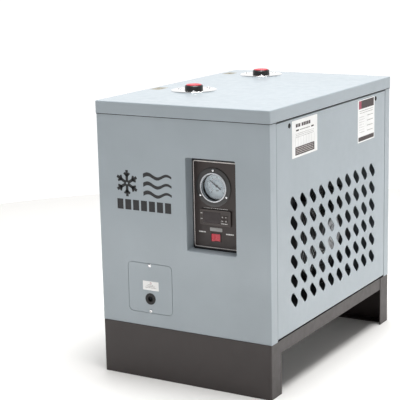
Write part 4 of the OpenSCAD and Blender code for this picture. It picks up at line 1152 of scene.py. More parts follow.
def accessCover():
    width, height = accessHigh.x - accessLow.x, accessHigh.z - accessLow.z
    centre = ((accessLow.x + accessHigh.x) / 2, (accessLow.z + accessHigh.z) / 2)
    grommet = middle("cable_grommet")
    hole = ringLoop(10.5 * mm, (grommet.x - centre[0], grommet.z - centre[1]), 40)
    rows = plateRows(1.5 * mm, 0.35 * mm)
    bm = bmesh.new()
    formSheet(bm, onFront(centre[0], accessLow.y, centre[1]),
              roundLoop(width, height, recess["accessCorner"], steps=8), rows, [hole], rows)
    settle(evenShade(meshPiece("accessCover", bm)), finishes["panel_paint"], "access_cover")
    low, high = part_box("cable_grommet")
    face, back = -low.y, -high.y
    bush = turned("cableGrommet", onFront(grommet.x, 0, grommet.z), [
        (6.5 * mm, back, 0.5 * mm), (6.5 * mm, face, 0.9 * mm), (13.2 * mm, face, 1.1 * mm),
        (13.2 * mm, face - 1.5 * mm, 0.2 * mm), (10.2 * mm, face - 1.5 * mm, 0.2 * mm),
        (10.2 * mm, face - 3.0 * mm, 0.2 * mm), (12.2 * mm, face - 3.0 * mm, 0.5 * mm), (12.2 * mm, back, 0.8 * mm)], 48)
    settle(bush, finishes["soft_rubber"], "cable_grommet")


accessCover()
print("access cover cut")

# ---- control plate, gauge, controller and switch ----


def controlPlate():
    width, height = plateHigh.x - plateLow.x, plateHigh.z - plateLow.z
    centre = ((plateLow.x + plateHigh.x) / 2, (plateLow.z + plateHigh.z) / 2)
    gauge, controller, switch = middle("gauge_case"), middle("controller_body"), middle("switch_frame")
    holes = [ringLoop(31.8 * mm, (gauge.x - centre[0], gauge.z - centre[1]), 56)]
    for part, face, step in (("controller_body", controller, 4.4 * mm), ("switch_frame", switch, 0.8 * mm)):
        size = spanOf(part)
        holes.append(roundLoop(size.x - step, size.z - step, 0.6 * mm, (face.x - centre[0], face.z - centre[1]),
                               steps=2))
    rows = plateRows(2 * mm, 0.2 * mm)
    bm = bmesh.new()
    formSheet(bm, onFront(centre[0], plateLow.y, centre[1]), roundLoop(width, height, 4 * mm), rows, holes, rows)
    settle(evenShade(meshPiece("controlPlate", bm)), finishes["plate_paint"], "control_plate")


def pressureGauge():
    gauge = middle("gauge_bezel")
    face = plateLow.y
    place = onFront(gauge.x, face, gauge.z)
    case = turned("gaugeCase", place, [
        (0, -15.8 * mm, 0), (27.1 * mm, -15.8 * mm, 0.3 * mm), (27.1 * mm, -8 * mm, 0.3 * mm),
        (30.5 * mm, -8 * mm, 0.2 * mm), (30.5 * mm, 1.6 * mm, 0.2 * mm), (43 * mm, 1.6 * mm, 0.6 * mm),
        (43 * mm, 0.05 * mm, 0.2 * mm), (31.5 * mm, 0.05 * mm, 0.2 * mm), (31.5 * mm, -38 * mm, 2 * mm),
        (7 * mm, -38 * mm, 0.4 * mm), (7 * mm, -50 * mm, 0.8 * mm), (0, -50 * mm, 0)], 96, closed=False)
    settle(case, finishes["gauge_black"], "gauge_case")
    bezel = turned("gaugeBezel", place, [
        (29.3 * mm, -5.95 * mm, 0.1 * mm), (29.3 * mm, 2.95 * mm, 0.7 * mm), (33 * mm, 2.95 * mm, 1.1 * mm),
        (33 * mm, 1.62 * mm, 0.2 * mm), (30.3 * mm, 1.62 * mm, 0.1 * mm), (30.3 * mm, -5.95 * mm, 0.1 * mm)], 128)
    settle(bezel, finishes["gauge_chrome"], "gauge_bezel")
    dial = turned("gaugeDial", place, [
        (1.4 * mm, -15.75 * mm, 0.1 * mm), (1.4 * mm, -15 * mm, 0.1 * mm), (26.8 * mm, -15 * mm, 0.2 * mm),
        (26.8 * mm, -15.75 * mm, 0.2 * mm)], 96)
    settle(dial, finishes["dial_white"], "gauge_dial")
    lining = turned("gaugeLining", place, [
        (26.86 * mm, -14.9 * mm, 0.04 * mm), (26.86 * mm, -8.1 * mm, 0.04 * mm), (27.08 * mm, -8.1 * mm, 0.04 * mm),
        (27.08 * mm, -14.9 * mm, 0.04 * mm)], 96)
    settle(lining, finishes["dial_white"], body="cabinet", slot="dial_white")
    glass = turned("gaugeGlass", place, [
        (0, -7.95 * mm, 0), (30.4 * mm, -7.95 * mm, 0.2 * mm), (30.4 * mm, -6.05 * mm, 0.3 * mm),
        (0, -6.02 * mm, 0)], 64, closed=False)
    settle(glass, finishes["gauge_lens"], "gauge_glass")
    points = [place @ Vector((37.5 * mm * math.cos(a), 37.5 * mm * math.sin(a), 1.6 * mm))
              for a in (quarter + k * 2 * math.pi / 3 for k in range(3))]
    screwSet("gaugeScrews", points, (0, -1, 0), finishes["bright_screw"], 3 * mm, 1.8 * mm, 9, "gauge_screws",
             sides=4, shank=(7.6 * mm, 1.6 * mm))


dialMarks = {"low": math.radians(225), "high": math.radians(-45), "fine": 80, "every": 5, "top": 16, "numberEvery": 2,
             "numberSize": 4.4 * mm, "innerSize": 2.6 * mm, "depth": 15 * mm, "shrink": 0.925}


def textMesh(bm, text, size, x, y, place, weight=0.0):
    # one number as a flat printed shape
    curve = bpy.data.curves.new("number", "FONT")
    curve.body = text
    curve.size = size
    curve.align_x = "CENTER"
    curve.align_y = "CENTER"
    curve.resolution_u = 3
    curve.offset = weight
    curve.extrude = inkStyle["rise"] / 2
    holder = bpy.data.objects.new("number", curve)
    bpy.context.scene.collection.objects.link(holder)
    bpy.context.view_layer.update()
    mesh = bpy.data.meshes.new_from_object(holder.evaluated_get(bpy.context.evaluated_depsgraph_get()))
    bpy.data.objects.remove(holder)
    mesh.transform(place @ Matrix.Translation((x, y, inkStyle["rise"] / 2)))
    bm.from_mesh(mesh)
    bpy.data.meshes.remove(mesh)


def dialPrint():
    gauge = middle("gauge_bezel")
    marks = dialMarks
    place = onFront(gauge.x, plateLow.y + marks["depth"], gauge.z) @ Matrix.Scale(marks["shrink"], 4)
    sweep = marks["high"] - marks["low"]

    def ticks(name, ink, count, radius, size, long, every):
        piece = grow(name, tickTree, {"Count": count + 1, "Radius": radius, "From": marks["low"],
                                      "Step": sweep / count, "Size": size, "Long": long, "Every": every,
                                      "Finish": inks[ink]})
        piece.data.transform(place)
        return settle(piece, inks[ink], body="cabinet", slot="dial_white")

    rise = inkStyle["rise"]
    ticks("dialTicksOuter", "black", marks["fine"], 25.6 * mm, (1.7 * mm, 0.3 * mm, rise), 1.9, marks["every"])
    ticks("dialTicksInner", "blue", 54, 14.6 * mm, (1.0 * mm, 0.26 * mm, rise), 1.8, 6)
    ticks("dialTicksMiddle", "red", 40, 17.9 * mm, (0.9 * mm, 0.26 * mm, rise), 1.8, 4)

    def arc(bm, radius, width, start, end, steps=72):
        angles = [start + (end - start) * k / steps for k in range(steps + 1)]
        outline = [((radius + width) * math.cos(a), (radius + width) * math.sin(a)) for a in angles]
        outline += [(radius * math.cos(a), radius * math.sin(a)) for a in reversed(angles)]
        inkShape(bm, place, outline)

    bm = bmesh.new()
    arc(bm, 26.9 * mm, 0.35 * mm, marks["low"], marks["high"])
    for number in range(0, marks["top"] + 1, marks["numberEvery"]):
        angle = marks["low"] + sweep * number / marks["top"]
        textMesh(bm, str(number), marks["numberSize"], 21.4 * mm * math.cos(angle), 21.4 * mm * math.sin(angle),
                 place, 0.00004)
    inkBar(bm, place, 0, -9.6 * mm, 9 * mm, 0.9 * mm)
    inkBar(bm, place, 0, -11.8 * mm, 6 * mm, 0.7 * mm)
    inkPiece("dialNumbers", bm, "black", "gauge_dial")
    bm = bmesh.new()
    arc(bm, 13.6 * mm, 0.28 * mm, marks["low"], marks["high"])
    for number in range(0, 10):
        angle = marks["low"] + sweep * number / 9
        textMesh(bm, str(number * 10), marks["innerSize"], 11.4 * mm * math.cos(angle), 11.4 * mm * math.sin(angle),
                 place)
    inkPiece("dialInnerNumbers", bm, "blue", "gauge_dial")
    bm = bmesh.new()
    arc(bm, 17.0 * mm, 0.28 * mm, marks["low"], marks["high"])
    arc(bm, 27.5 * mm, 0.7 * mm, marks["low"] + sweep * 0.8, marks["high"], 24)
    inkPiece("dialRedBand", bm, "red", "gauge_dial")


def gaugePointer():
    # leaf-shaped needle with a hub cap on its arbor
    gauge = middle("gauge_bezel")
    angle = math.radians(145.5)
    place = onFront(gauge.x, plateLow.y, gauge.z) @ Matrix.Rotation(angle, 4, "Z")
    bm = bmesh.new()
    outline = [(23.4, 0.12), (20, 0.45), (10, 0.85), (3, 1.15), (0, 1.5), (-3, 0.9), (-8, 1.2), (-11.6, 1.5)]
    outline = [(x * mm, y * mm) for x, y in outline] + [(x * mm, -y * mm) for x, y in reversed(outline)]

    def needle(grow=0.0):
        return [(x, y + math.copysign(grow, y) if abs(y) > 0.3 * mm else y) for x, y in outline]

    formSheet(bm, place @ Matrix.Translation((0, 0, -13.1 * mm)), needle, plateRows(0.6 * mm, 0.12 * mm))
    lathe(bm, place, filleted([(0, -12.25 * mm, 0), (2.5 * mm, -12.25 * mm, 0.5 * mm),
                               (2.6 * mm, -13.75 * mm, 0.2 * mm), (0.8 * mm, -13.75 * mm, 0.1 * mm),
                               (0.8 * mm, -22.7 * mm, 0.2 * mm), (0, -22.7 * mm, 0)]),
          32, closed=False)
    settle(evenShade(meshPiece("gaugePointer", bm)), finishes["pointer_black"], "gauge_pointer")


def controller():
    softened("controller_body", "controllerBody", finishes["controller_black"], 0.5 * mm)
    softened("display_window", "displayWindow", finishes["display_lens"], 0.25 * mm)
    for key in ("key_up", "key_down", "key_set", "key_power"):
        low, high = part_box(key)
        centre = (low + high) / 2
        width, height, depth = high.x - low.x, high.z - low.z, high.y - low.y
        bm = bmesh.new()
        crown = [(-1.6 * mm, 0.0), (-0.9 * mm, -0.08 * mm), (-0.35 * mm, -0.3 * mm), (0, -0.7 * mm)]
        rows = crown + [(0, -depth + 0.2 * mm), (-0.2 * mm, -depth)]
        formSheet(bm, onFront(centre.x, low.y, centre.z), roundLoop(width, height, 1.7 * mm), rows)
        words = key.split("_")
        name = words[0] + words[1].capitalize() + "Cap"
        settle(evenShade(meshPiece(name, bm)), finishes["key_plastic"], key)


def rockerSwitch():
    softened("switch_frame", "switchFrame", finishes["switch_base"], 0.4 * mm)
    softened("switch_rocker", "switchRocker", finishes["switch_red"], 0.5 * mm)


controlPlate()
pressureGauge()
dialPrint()
gaugePointer()
controller()
rockerSwitch()
print("control panel made")

# ---- print on the control plate ----


def keyPrint():
    # a pale mark on each key, riding with its key
    shapes = {
        "key_up": [[(-1.5, -0.9), (1.5, -0.9), (0, 1.4)]],
        "key_down": [[(-1.5, 0.9), (0, -1.4), (1.5, 0.9)]],
        "key_set": [[(-1.6, -1.2), (-0.7, -1.2), (-0.7, 1.2), (-1.6, 1.2)], [(-0.1, -1.2), (1.6, -1.2), (1.6, -0.4), (-0.1, -0.4)]],
        "key_power": [[(-0.35, 0.1), (0.35, 0.1), (0.35, 1.7), (-0.35, 1.7)]],
    }
    for key, patches in shapes.items():
        low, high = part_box(key)
        centre = (low + high) / 2
        place = onFront(centre.x, low.y, centre.z)
        bm = bmesh.new()
        for patch in patches:
            inkShape(bm, place, [(x * mm, y * mm) for x, y in patch])
        if key == "key_power":
            ring = ringLoop(1.6 * mm, steps=24)
            inkShape(bm, place, ring(0), [ring(-0.6 * mm)])
        words = key.split("_")
        inkPiece(words[0] + words[1].capitalize() + "Mark", bm, "white", key)


def platePrint():
    chance = random.Random(inkStyle["seed"])
    centre = ((plateLow.x + plateHigh.x) / 2, (plateLow.z + plateHigh.z) / 2)
    place = onFront(centre[0], plateLow.y, centre[1])
    width, height = plateHigh.x - plateLow.x, plateHigh.z - plateLow.z
    bm = bmesh.new()
    border = {"inset": 2.7 * mm, "top": 505.5 * mm, "bottom": 314.3 * mm, "line": 1.9 * mm, "corner": 5 * mm}
    inner = (width - 2 * recess["overlap"] - 2 * border["inset"], border["top"] - border["bottom"])
    level = (border["top"] + border["bottom"]) / 2 - centre[1]
    inkFrame(bm, place, 0, level, inner[0], inner[1], border["corner"], border["line"])
    inkPiece("plateBorder", bm, "pale", "control_plate")
    bm = bmesh.new()
    outline = roundLoop(width - 0.6 * mm, height - 0.6 * mm, 4 * mm, steps=8)
    inkShape(bm, place, outline(0), [roundLoop(*inner, border["corner"], (0, level), steps=8)(0.2 * mm)])
    inkPiece("plateMargin", bm, "black", "control_plate")
    controllerMid = middle("controller_body")
    low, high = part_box("controller_body")
    switch = middle("switch_frame")
    bm = bmesh.new()
    inkDashes(bm, place, 69.3 * mm - centre[0], high.z + 2.5 * mm - centre[1], 59 * mm, 1.6 * mm, chance, 0.8)
    inkDashes(bm, place, 34.9 * mm - centre[0], switch.z + 10.2 * mm - centre[1], 17.3 * mm, 2.8 * mm, chance, 0.15)
    inkDashes(bm, place, 103.3 * mm - centre[0], switch.z + 10 * mm - centre[1], 18.6 * mm, 2.8 * mm, chance, 0.15)
    inkPiece("plateLegends", bm, "white", "control_plate")
    face = onFront(controllerMid.x, low.y, controllerMid.z)
    bm = bmesh.new()
    inkFrame(bm, face, 0, 0, 74.4 * mm, 32.9 * mm, 1.6 * mm, 0.9 * mm)
    inkFrame(bm, face, -8.4 * mm, 0, 45.4 * mm, 27.6 * mm, 1.4 * mm, 0.8 * mm)
    inkPiece("controllerFrameLine", bm, "dusk", "controller_body")
    bm = bmesh.new()
    for z in (8.3, -4.2):
        inkDashes(bm, face, -33.9 * mm, z * mm, 4.6 * mm, 2.2 * mm, chance, 0.25)
    inkBar(bm, face, 14.1 * mm, -8.4 * mm, 0.8 * mm, 6 * mm)
    inkDashes(bm, face, 22.6 * mm, -11.4 * mm, 16 * mm, 1.9 * mm, chance, 0.3)
    inkPiece("controllerMarks", bm, "white", "controller_body")


def legendStrip():
    boxes = islands("cabinet_labels")
    found = {}
    for low, high in boxes:
        size = high - low
        thin = min(range(3), key=lambda i: size[i])
        if thin == 2:
            found["inletSticker" if (low.y + high.y) / 2 < 0 else "outletSticker"] = (low, high)
        else:
            found["noticeSticker" if high.x < 0 else "legendSticker"] = (low, high)
    return found


stickerBoxes = legendStrip()


def flatSticker(name, low, high, place, width, height, thickness, finish, node, corner=1.2 * mm):
    bm = bmesh.new()
    formSheet(bm, place, roundLoop(width, height, corner), plateRows(thickness, 0.08 * mm))
    return settle(evenShade(meshPiece(name, bm)), finish, node)


def cabinetStickers():
    chance = random.Random(inkStyle["seed"] + 1)
    lift = 0.06 * mm
    for name, (low, high) in stickerBoxes.items():
        centre, size = (low + high) / 2, high - low
        if name in ("inletSticker", "outletSticker"):
            place = onTop(centre.x, centre.y, high.z - lift)
            flatSticker(name, low, high, place, size.x, size.y, size.z - lift, portFinish, "cabinet_labels")
            bm = bmesh.new()
            inkBar(bm, place, 0, size.y * 0.3, size.x * 0.7, size.y * 0.16)
            for line in range(6):
                inkDashes(bm, place, 0, size.y * (0.1 - 0.08 * line), size.x * 0.74, 1.5 * mm, chance)
            inkPiece(name + "Print", bm, "tan", "cabinet_labels")
            continue
        place = onFront(centre.x, low.y + lift, centre.z)
        flatSticker(name, low, high, place, size.x, size.z, size.y - lift,
                    finishes["sticker"] if name == "noticeSticker" else legendFinish, "cabinet_labels")
        bm = bmesh.new()
        if name == "noticeSticker":
            for line, wide in ((2.2, 0.36), (-1.2, 0.55), (-4.4, 0.7)):
                inkDashes(bm, place, 0, line * mm, size.x * wide, 1.2 * mm, chance)
            inkPiece("noticePrint", bm, "grey", "cabinet_labels")
            bm = bmesh.new()
            ring = ringLoop(2.1 * mm, (0, 6.3 * mm), 24)
            inkShape(bm, place, ring(0), [ring(-0.6 * mm)])
            inkPiece("noticeRing", bm, "red", "cabinet_labels")
        else:
            for step in range(9):
                inkBar(bm, place, (step - 4) * 3.1 * mm, -2.2 * mm, 0.35 * mm, 1.6 * mm)
            inkDashes(bm, place, 0, 1.2 * mm, size.x * 0.78, 1.3 * mm, chance)
            inkPiece("legendPrint", bm, "grey", "cabinet_labels")


legendFinish = mouldedPlastic("legendFilm", (0.36, 0.355, 0.35), 0.3, 0.000006)
portFinish = paperFilm("portStickerFilm", (0.34, 0.32, 0.26), 0.6)


def sideStickers():
    chance = random.Random(inkStyle["seed"] + 2)
    boxes = islands("side_labels")
    lift = 0.06 * mm
    for name, (low, high) in zip(("ratingSticker", "noteSticker"), boxes):
        centre, size = (low + high) / 2, high - low
        place = onRight(high.x - lift, centre.y, centre.z)
        width, height = size.y, size.z
        flatSticker(name, low, high, place, width, height, size.x - lift, finishes["sticker"], "side_labels", 1.5 * mm)
        body = "right_panel_set"
        dark, thin, red = bmesh.new(), bmesh.new(), bmesh.new()
        if name == "ratingSticker":
            # bold title blocks, a thin grid of columns and a dark block at the foot
            at = -width * 0.36
            for wide in (9, 5, 9, 0, 9, 9, 8, 9, 9):
                if wide:
                    inkBar(dark, place, at + wide * mm / 2, height * 0.35, wide * mm * 0.82, 7.4 * mm)
                at += wide * mm if wide else 5 * mm
            inkBar(dark, place, -width * 0.29, height * 0.22, 14 * mm, 3.4 * mm)
            inkBar(dark, place, width * 0.3, height * 0.22, 13 * mm, 3.4 * mm)
            inkDashes(thin, place, 0, height * 0.22, width * 0.4, 2.4 * mm, chance)
            for line in range(3):
                inkDashes(thin, place, 0, height * (0.13 - 0.045 * line), width * 0.72, 1.1 * mm, chance, 0.7)
            for column in range(8):
                x = width * (0.74 * column / 7 - 0.37)
                inkBar(thin, place, x, -height * 0.09, 0.4 * mm, height * 0.24)
            inkBar(dark, place, 0, -height * 0.33, width * 0.75, height * 0.22)
            for line in range(4):
                inkDashes(red, place @ Matrix.Translation((0, 0, 0.03 * mm)), 0, -height * (0.26 + 0.045 * line),
                          width * 0.68, 1.2 * mm, chance)
        else:
            # dark header with a red field, lines of print and a dark foot
            inkBar(dark, place, width * 0.08, height * 0.385, width * 0.74, height * 0.19, 1 * mm)
            inkBar(red, place, -width * 0.365, height * 0.385, width * 0.15, height * 0.19, 1 * mm)
            for line in range(2):
                inkDashes(thin, place, 0, height * (0.24 - 0.05 * line), width * 0.8, 1.4 * mm, chance)
            for line in range(7):
                inkDashes(thin, place, -width * 0.26, height * (0.1 - 0.06 * line), width * 0.3, 1.2 * mm, chance, 1.2)
                if line % 2 == 0:
                    inkDashes(thin, place, width * 0.22, height * (0.1 - 0.06 * line), width * 0.36, 1.8 * mm, chance)
            inkBar(dark, place, 0, -height * 0.42, width * 0.92, height * 0.1, 1 * mm)
        inkPiece(name + "Blocks", dark, "brown", "side_labels", body)
        inkPiece(name + "Lines", thin, "grey", "side_labels", body)
        inkPiece(name + "Accent", red, "red" if name == "noteSticker" else "pale", "side_labels", body)


emblem = {"left": -170 * mm, "right": -24 * mm, "top": 476 * mm, "bottom": 386 * mm, "stroke": 9.5 * mm}


def frontEmblem():
    # generic mark: an ice crystal beside three streams of air, over a rule
    style = emblem
    low = Vector((style["left"], style["bottom"]))
    high = Vector((style["right"], style["top"]))
    place = onFront(0, frontLow.y, 0)
    size = (high.y - low.y) * 0.66
    centre = Vector((low.x + size / 2, high.y - size / 2))
    bm = bmesh.new()

    def stroke(a, b, width):
        along = (b - a).normalized()
        side = Vector((-along.y, along.x)) * width / 2
        inkShape(bm, place, [tuple(a + side), tuple(a - side), tuple(b - side), tuple(b + side)])

    for arm in range(6):
        angle = quarter + arm * math.pi / 3
        ray = Vector((math.cos(angle), math.sin(angle)))
        stroke(centre + ray * size * 0.1, centre + ray * size * 0.5, style["stroke"] * 0.72)
        for fork in (-1, 1):
            twig = Vector((math.cos(angle + fork * 0.8), math.sin(angle + fork * 0.8)))
            knot = centre + ray * size * 0.27
            stroke(knot, knot + twig * size * 0.17, style["stroke"] * 0.55)
    core = ringLoop(size * 0.12, tuple(centre), 24)
    inkShape(bm, place, core(0), [core(-style["stroke"] * 0.5)])
    start, end = low.x + size * 1.22, high.x
    for stream in range(3):
        middleY = centre.y + (1 - stream) * size * 0.34
        steps = 40
        upper, lower = [], []
        for step in range(steps + 1):
            x = start + (end - start) * step / steps
            bend = size * 0.07 * math.sin(step / steps * math.pi * 3)
            half = style["stroke"] * (0.5 - 0.22 * step / steps)
            upper.append((x, middleY + bend + half))
            lower.append((x, middleY + bend - half))
        inkShape(bm, place, upper + lower[::-1])
    base = low.y + (high.y - low.y) * 0.14
    for bar in range(7):
        wide = (high.x - low.x) / 7
        inkBar(bm, place, low.x + wide * (bar + 0.5), base, wide * 0.76, (high.y - low.y) * 0.26)
    inkPiece("frontEmblem", bm, "black", "front_panel")


keyPrint()
platePrint()
cabinetStickers()
sideStickers()
frontEmblem()
print("print laid on")

# ---- painted seam shadow ----


def coverSeams():
    # black strip under the cover's lip, proud of the panels: a painted shadow line where the cover meets the panels
    low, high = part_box("top_cover")
    # size of the black strip that paints the seam shadow under the cover's lip
    shadowBand = {"height": 1.4 * mm, "proud": 1.1 * mm, "joint": 0.5 * mm}
    bm = bmesh.new()
    loop = roundLoop(high.x - low.x - 3 * mm, high.y - low.y - 3 * mm, 2.5 * mm, steps=4)
    rows = [(shadowBand["proud"], 0), (shadowBand["proud"], -shadowBand["height"]), (0.0, -shadowBand["height"]), (0.0, 0)]
    levels = [[bm.verts.new((x, y, low.z + depth)) for x, y in loop(grow)] for grow, depth in rows]
    for a, b in zip(levels, levels[1:] + levels[:1]):
        for i in range(len(a)):
            j = (i + 1) % len(a)
            bm.faces.new((a[i], a[j], b[j], b[i]))
    piece = meshPiece("coverSeal", bm)
    settle(piece, seamShadowFinish, body="cabinet", slot="soft_rubber")


coverSeams()

# ---- inside the cabinet ----

insideParts = [
    ("upper_rails", "upperRails", 0.2), ("terminal_block", "terminalBlock", 0.4),
    ("connection_plate", "connectionPlate", 0.2), ("air_pipes", "airPipes", 0.3),
    ("drain_outlet", "drainOutlet", 0.2), ("compressor_lower_shell", "compressorLowerShell", 0.0),
    ("compressor_upper_shell", "compressorUpperShell", 0.0), ("compressor_grommets", "compressorGrommets", 0.4),
    ("compressor_terminal_cover", "compressorTerminalCover", 0.8), ("condenser_tubes", "condenserTubes", 0.0),
    ("fan_shroud", "fanShroud", 0.3), ("heat_exchanger", "heatExchanger", 2.0),
    ("exchanger_hangers", "exchangerHangers", 0.2), ("moisture_separator", "moistureSeparator", 0.0),
    ("drain_valve", "drainValve", 0.5), ("valve_lever", "valveLever", 0.4), ("drain_hose", "drainHose", 0.0),
    ("filter_drier", "filterDrier", 0.0), ("bypass_valve", "bypassValve", 0.4), ("copper_lines", "copperLines", 0.0),
]


def innerParts():
    for node, name, ease in insideParts:
        softened(node, name, finishes[slotOf[node]], ease * mm)


def condenser():
    # side plates, and many thin rippled fins between them
    low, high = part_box("condenser_fins")
    count, wall = 96, 1.5 * mm
    gap = (high.y - low.y - 2 * wall) / (count + 1)
    feet = 14.5 * mm
    bottom = low.z + feet
    fins = grow("condenserFins", finTree, {
        "Count": count, "First": ((low.x + high.x) / 2, low.y + wall + gap, (bottom + high.z) / 2),
        "Step": (0, gap, 0), "Size": (high.x - low.x - 1 * mm, 0.3 * mm, high.z - bottom - 2 * wall),
        "Ripple": 0.5 * mm, "Finish": finishes["fin_aluminium"]})
    settle(fins, finishes["fin_aluminium"], "condenser_fins")
    bm = bmesh.new()
    rows = plateRows(wall, 0.3 * mm)
    for side, place in ((low.y, onFront), (high.y, onRear)):
        formSheet(bm, place((low.x + high.x) / 2, side, (bottom + high.z) / 2),
                  roundLoop(high.x - low.x, high.z - bottom, 1 * mm), rows)
    for level in (high.z, bottom + wall):
        formSheet(bm, onTop((low.x + high.x) / 2, (low.y + high.y) / 2, level),
                  roundLoop(high.x - low.x, high.y - low.y - 2 * wall, 0.5 * mm), rows)
    for y in (low.y + 15 * mm, high.y - 15 * mm):
        formSheet(bm, onTop((low.x + high.x) / 2, y, bottom), roundLoop(high.x - low.x, 30 * mm, 2 * mm),
                  plateRows(feet, 1 * mm))
    settle(meshPiece("condenserFrame", bm), finishes["zinc_plate"], body="cabinet", slot="fin_aluminium")


def coolingFan():
    # hub with curved, twisted blades
    low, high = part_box("fan_blades")
    centre = (low + high) / 2
    radius = (high.y - low.y) / 2
    place = onRight(centre.x, centre.y, centre.z)
    blades, hub = 5, 26 * mm
    bm = bmesh.new()
    lathe(bm, place, filleted([(4.05 * mm, -10 * mm, 0.3 * mm), (hub, -10 * mm, 1 * mm), (hub, 10 * mm, 3 * mm),
                               (4.05 * mm, 10 * mm, 0.3 * mm)]), 48)
    across, along = 10, 12
    for blade in range(blades):
        grid = []
        for side in (1, -1):
            sheet = []
            for i in range(along + 1):
                t = i / along
                reach = (hub - 1.5 * mm) + (radius - 0.6 * mm - hub + 1.5 * mm) * t
                row = []
                for j in range(across + 1):
                    s = j / across - 0.5
                    chord = (46 * mm + 26 * mm * math.sin(t * math.pi * 0.62)) * s
                    pitch = math.radians(30 - 12 * t)
                    camber = 5 * mm * (1 - 4 * s * s)
                    flat = chord * math.cos(pitch)
                    lift = chord * math.sin(pitch) + camber * 0.6 + side * 0.55 * mm
                    turn = 2 * math.pi * blade / blades + flat / reach + 0.12 * t
                    limit = 11 * mm
                    lift = limit * math.tanh(lift / limit)
                    row.append(bm.verts.new(place @ Vector((reach * math.cos(turn), reach * math.sin(turn), lift))))
                sheet.append(row)
            grid.append(sheet)
        top, under = grid
        for i in range(along):
            for j in range(across):
                bm.faces.new((top[i][j], top[i][j + 1], top[i + 1][j + 1], top[i + 1][j]))
                bm.faces.new((under[i][j], under[i + 1][j], under[i + 1][j + 1], under[i][j + 1]))
        rim = ([(i, 0) for i in range(along + 1)] + [(along, j) for j in range(1, across + 1)]
               + [(i, across) for i in range(along - 1, -1, -1)] + [(0, j) for j in range(across - 1, 0, -1)])
        for (a, b), (c, d) in zip(rim, rim[1:] + rim[:1]):
            bm.faces.new((top[a][b], top[c][d], under[c][d], under[a][b]))
    settle(meshPiece("fanBlades", bm, 50), finishes["blade_aluminium"], "fan_blades")


def fanGuardAndMotor():
    low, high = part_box("fan_guard")
    centre = middle("fan_motor")
    place = onRight(high.x - 1.5 * mm, centre.y, centre.z)
    rings = grow("fanGuardRings", ringTree, {"Count": 11, "First": 38 * mm, "Step": 8.5 * mm, "Wire": 1.2 * mm,
                                             "Finish": finishes["black_wire"]})
    rings.data.transform(place)
    rings.data.polygons.foreach_set("use_smooth", [True] * len(rings.data.polygons))
    settle(rings, finishes["black_wire"], "fan_guard")
    bm = bmesh.new()
    for arm in range(4):
        angle = quarter / 2 + arm * quarter
        spin = place @ Matrix.Rotation(angle, 4, "Z")
        formSheet(bm, spin @ Matrix.Translation((0, 0, 1.4 * mm)), roundLoop(99 * mm, 8 * mm, 2 * mm, (86 * mm, 0)),
                  plateRows(1.6 * mm, 0.4 * mm))
        post = spin @ Matrix.Translation((134 * mm, 0, 0))
        lathe(bm, post, [(0, low.x - high.x + 1.5 * mm), (3 * mm, low.x - high.x + 1.5 * mm), (3 * mm, 0), (0, 0)], 16,
              closed=False)
    settle(meshPiece("fanGuardArms", bm), finishes["black_wire"], body="cabinet", slot="black_wire")
    motorLow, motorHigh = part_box("fan_motor")
    back = onRight(high.x, centre.y, centre.z)
    deep = motorHigh.x - high.x
    motor = turned("fanMotor", back, [
        (0, -33 * mm, 0), (4 * mm, -33 * mm, 0.5 * mm), (4 * mm, 0, 0), (42 * mm, 0.0, 1 * mm),
        (42 * mm, deep * 0.62, 1 * mm), (40.5 * mm, deep * 0.66, 0.4 * mm), (40.5 * mm, deep - 1 * mm, 4 * mm),
        (27 * mm, deep - 0.2 * mm, 0.6 * mm), (26 * mm, deep - 2 * mm, 0.5 * mm), (23 * mm, deep - 2 * mm, 0.5 * mm),
        (22 * mm, deep, 1.5 * mm), (9 * mm, deep, 1 * mm), (8 * mm, deep - 1.6 * mm, 0.6 * mm), (0, deep - 1.6 * mm, 0)],
        72, closed=False)
    settle(motor, finishes["motor_aluminium"], "fan_motor")


innerParts()
condenser()
coolingFan()
fanGuardAndMotor()
print("inside filled")

# ---- floor and light ----

# low panels of light stand for the glow that a white sweep throws back on the lower walls:
# place, turn about Z, width, height, power
lowPanels = {"rightGlow": ((1.0, 0.22, 0.08), 90, 0.8, 0.15, 2.0), "frontGlow": ((-0.35, -1.1, 0.06), 0, 0.9, 0.15, 0.8)}
stage = {"floorRadius": 1.9, "frontSky": 0.17, "backSky": 1.1, "below": 1.1, "topPower": 215.0, "topSize": 2.2,
         "topPlace": (0.5, -0.2, 4.2), "behind": (-0.5, 0.86, 0.0)}


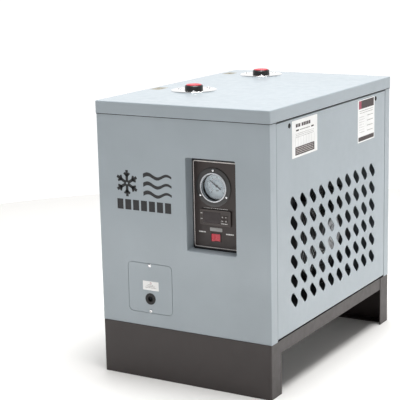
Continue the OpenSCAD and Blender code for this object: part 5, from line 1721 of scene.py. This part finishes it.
def makeStage():
    scene = bpy.context.scene
    scene.view_settings.view_transform = "Standard"
    scene.view_settings.look = "None"
    scene.view_settings.exposure = 0.0
    bm = bmesh.new()
    bmesh.ops.create_circle(bm, cap_ends=True, segments=96, radius=stage["floorRadius"])
    floor = meshPiece("floor", bm)
    paint, tree, shader, where = newFinish("paleFloor", (0.9, 0.89, 0.87), 0.6)
    mottle(tree, shader, grain(tree, where, 2.0, 2.0), (0.89, 0.88, 0.86), (0.91, 0.9, 0.88))
    floor.data.materials.append(paint)
    # the sky is pale behind the cabinet and darker on its open side; below the horizon it is white
    world = bpy.data.worlds.new("studio")
    world.use_nodes = True
    tree = world.node_tree
    background = tree.nodes["Background"]
    background.inputs["Color"].default_value = (1.0, 1.0, 1.0, 1)
    where = put(tree, "ShaderNodeTexCoord")
    facing = put(tree, "ShaderNodeVectorMath", {1: stage["behind"]}, operation="DOT_PRODUCT")
    sweep = put(tree, "ShaderNodeMapRange", {"From Min": 0.0, "From Max": 0.9, "To Min": stage["frontSky"],
                                             "To Max": stage["backSky"]}, interpolation_type="SMOOTHSTEP")
    parts = put(tree, "ShaderNodeSeparateXYZ")
    under = put(tree, "ShaderNodeMath", {1: 0.0}, operation="LESS_THAN")
    floorTone = put(tree, "ShaderNodeMath", {1: stage["below"]}, operation="MULTIPLY")
    strength = put(tree, "ShaderNodeMath", operation="MAXIMUM")
    join(tree, where, "Generated", facing, 0)
    join(tree, facing, "Value", sweep, "Value")
    join(tree, where, "Generated", parts, "Vector")
    join(tree, parts, "Z", under, 0)
    join(tree, under, "Value", floorTone, 0)
    join(tree, sweep, "Result", strength, 0)
    join(tree, floorTone, "Value", strength, 1)
    join(tree, strength, "Value", background, "Strength")
    scene.world = world
    lamp = bpy.data.lights.new("topSoftbox", "AREA")
    lamp.shape = "DISK"
    lamp.size = stage["topSize"]
    lamp.energy = stage["topPower"]
    holder = bpy.data.objects.new("topSoftbox", lamp)
    holder.location = stage["topPlace"]
    scene.collection.objects.link(holder)
    for name, (place, turn, wide, tall, power) in lowPanels.items():
        lamp = bpy.data.lights.new(name, "AREA")
        lamp.shape = "RECTANGLE"
        lamp.size = wide
        lamp.size_y = tall
        lamp.energy = power
        holder = bpy.data.objects.new(name, lamp)
        holder.location = place
        holder.rotation_euler = (quarter, 0, math.radians(turn))
        scene.collection.objects.link(holder)


makeStage()
print("stage set")
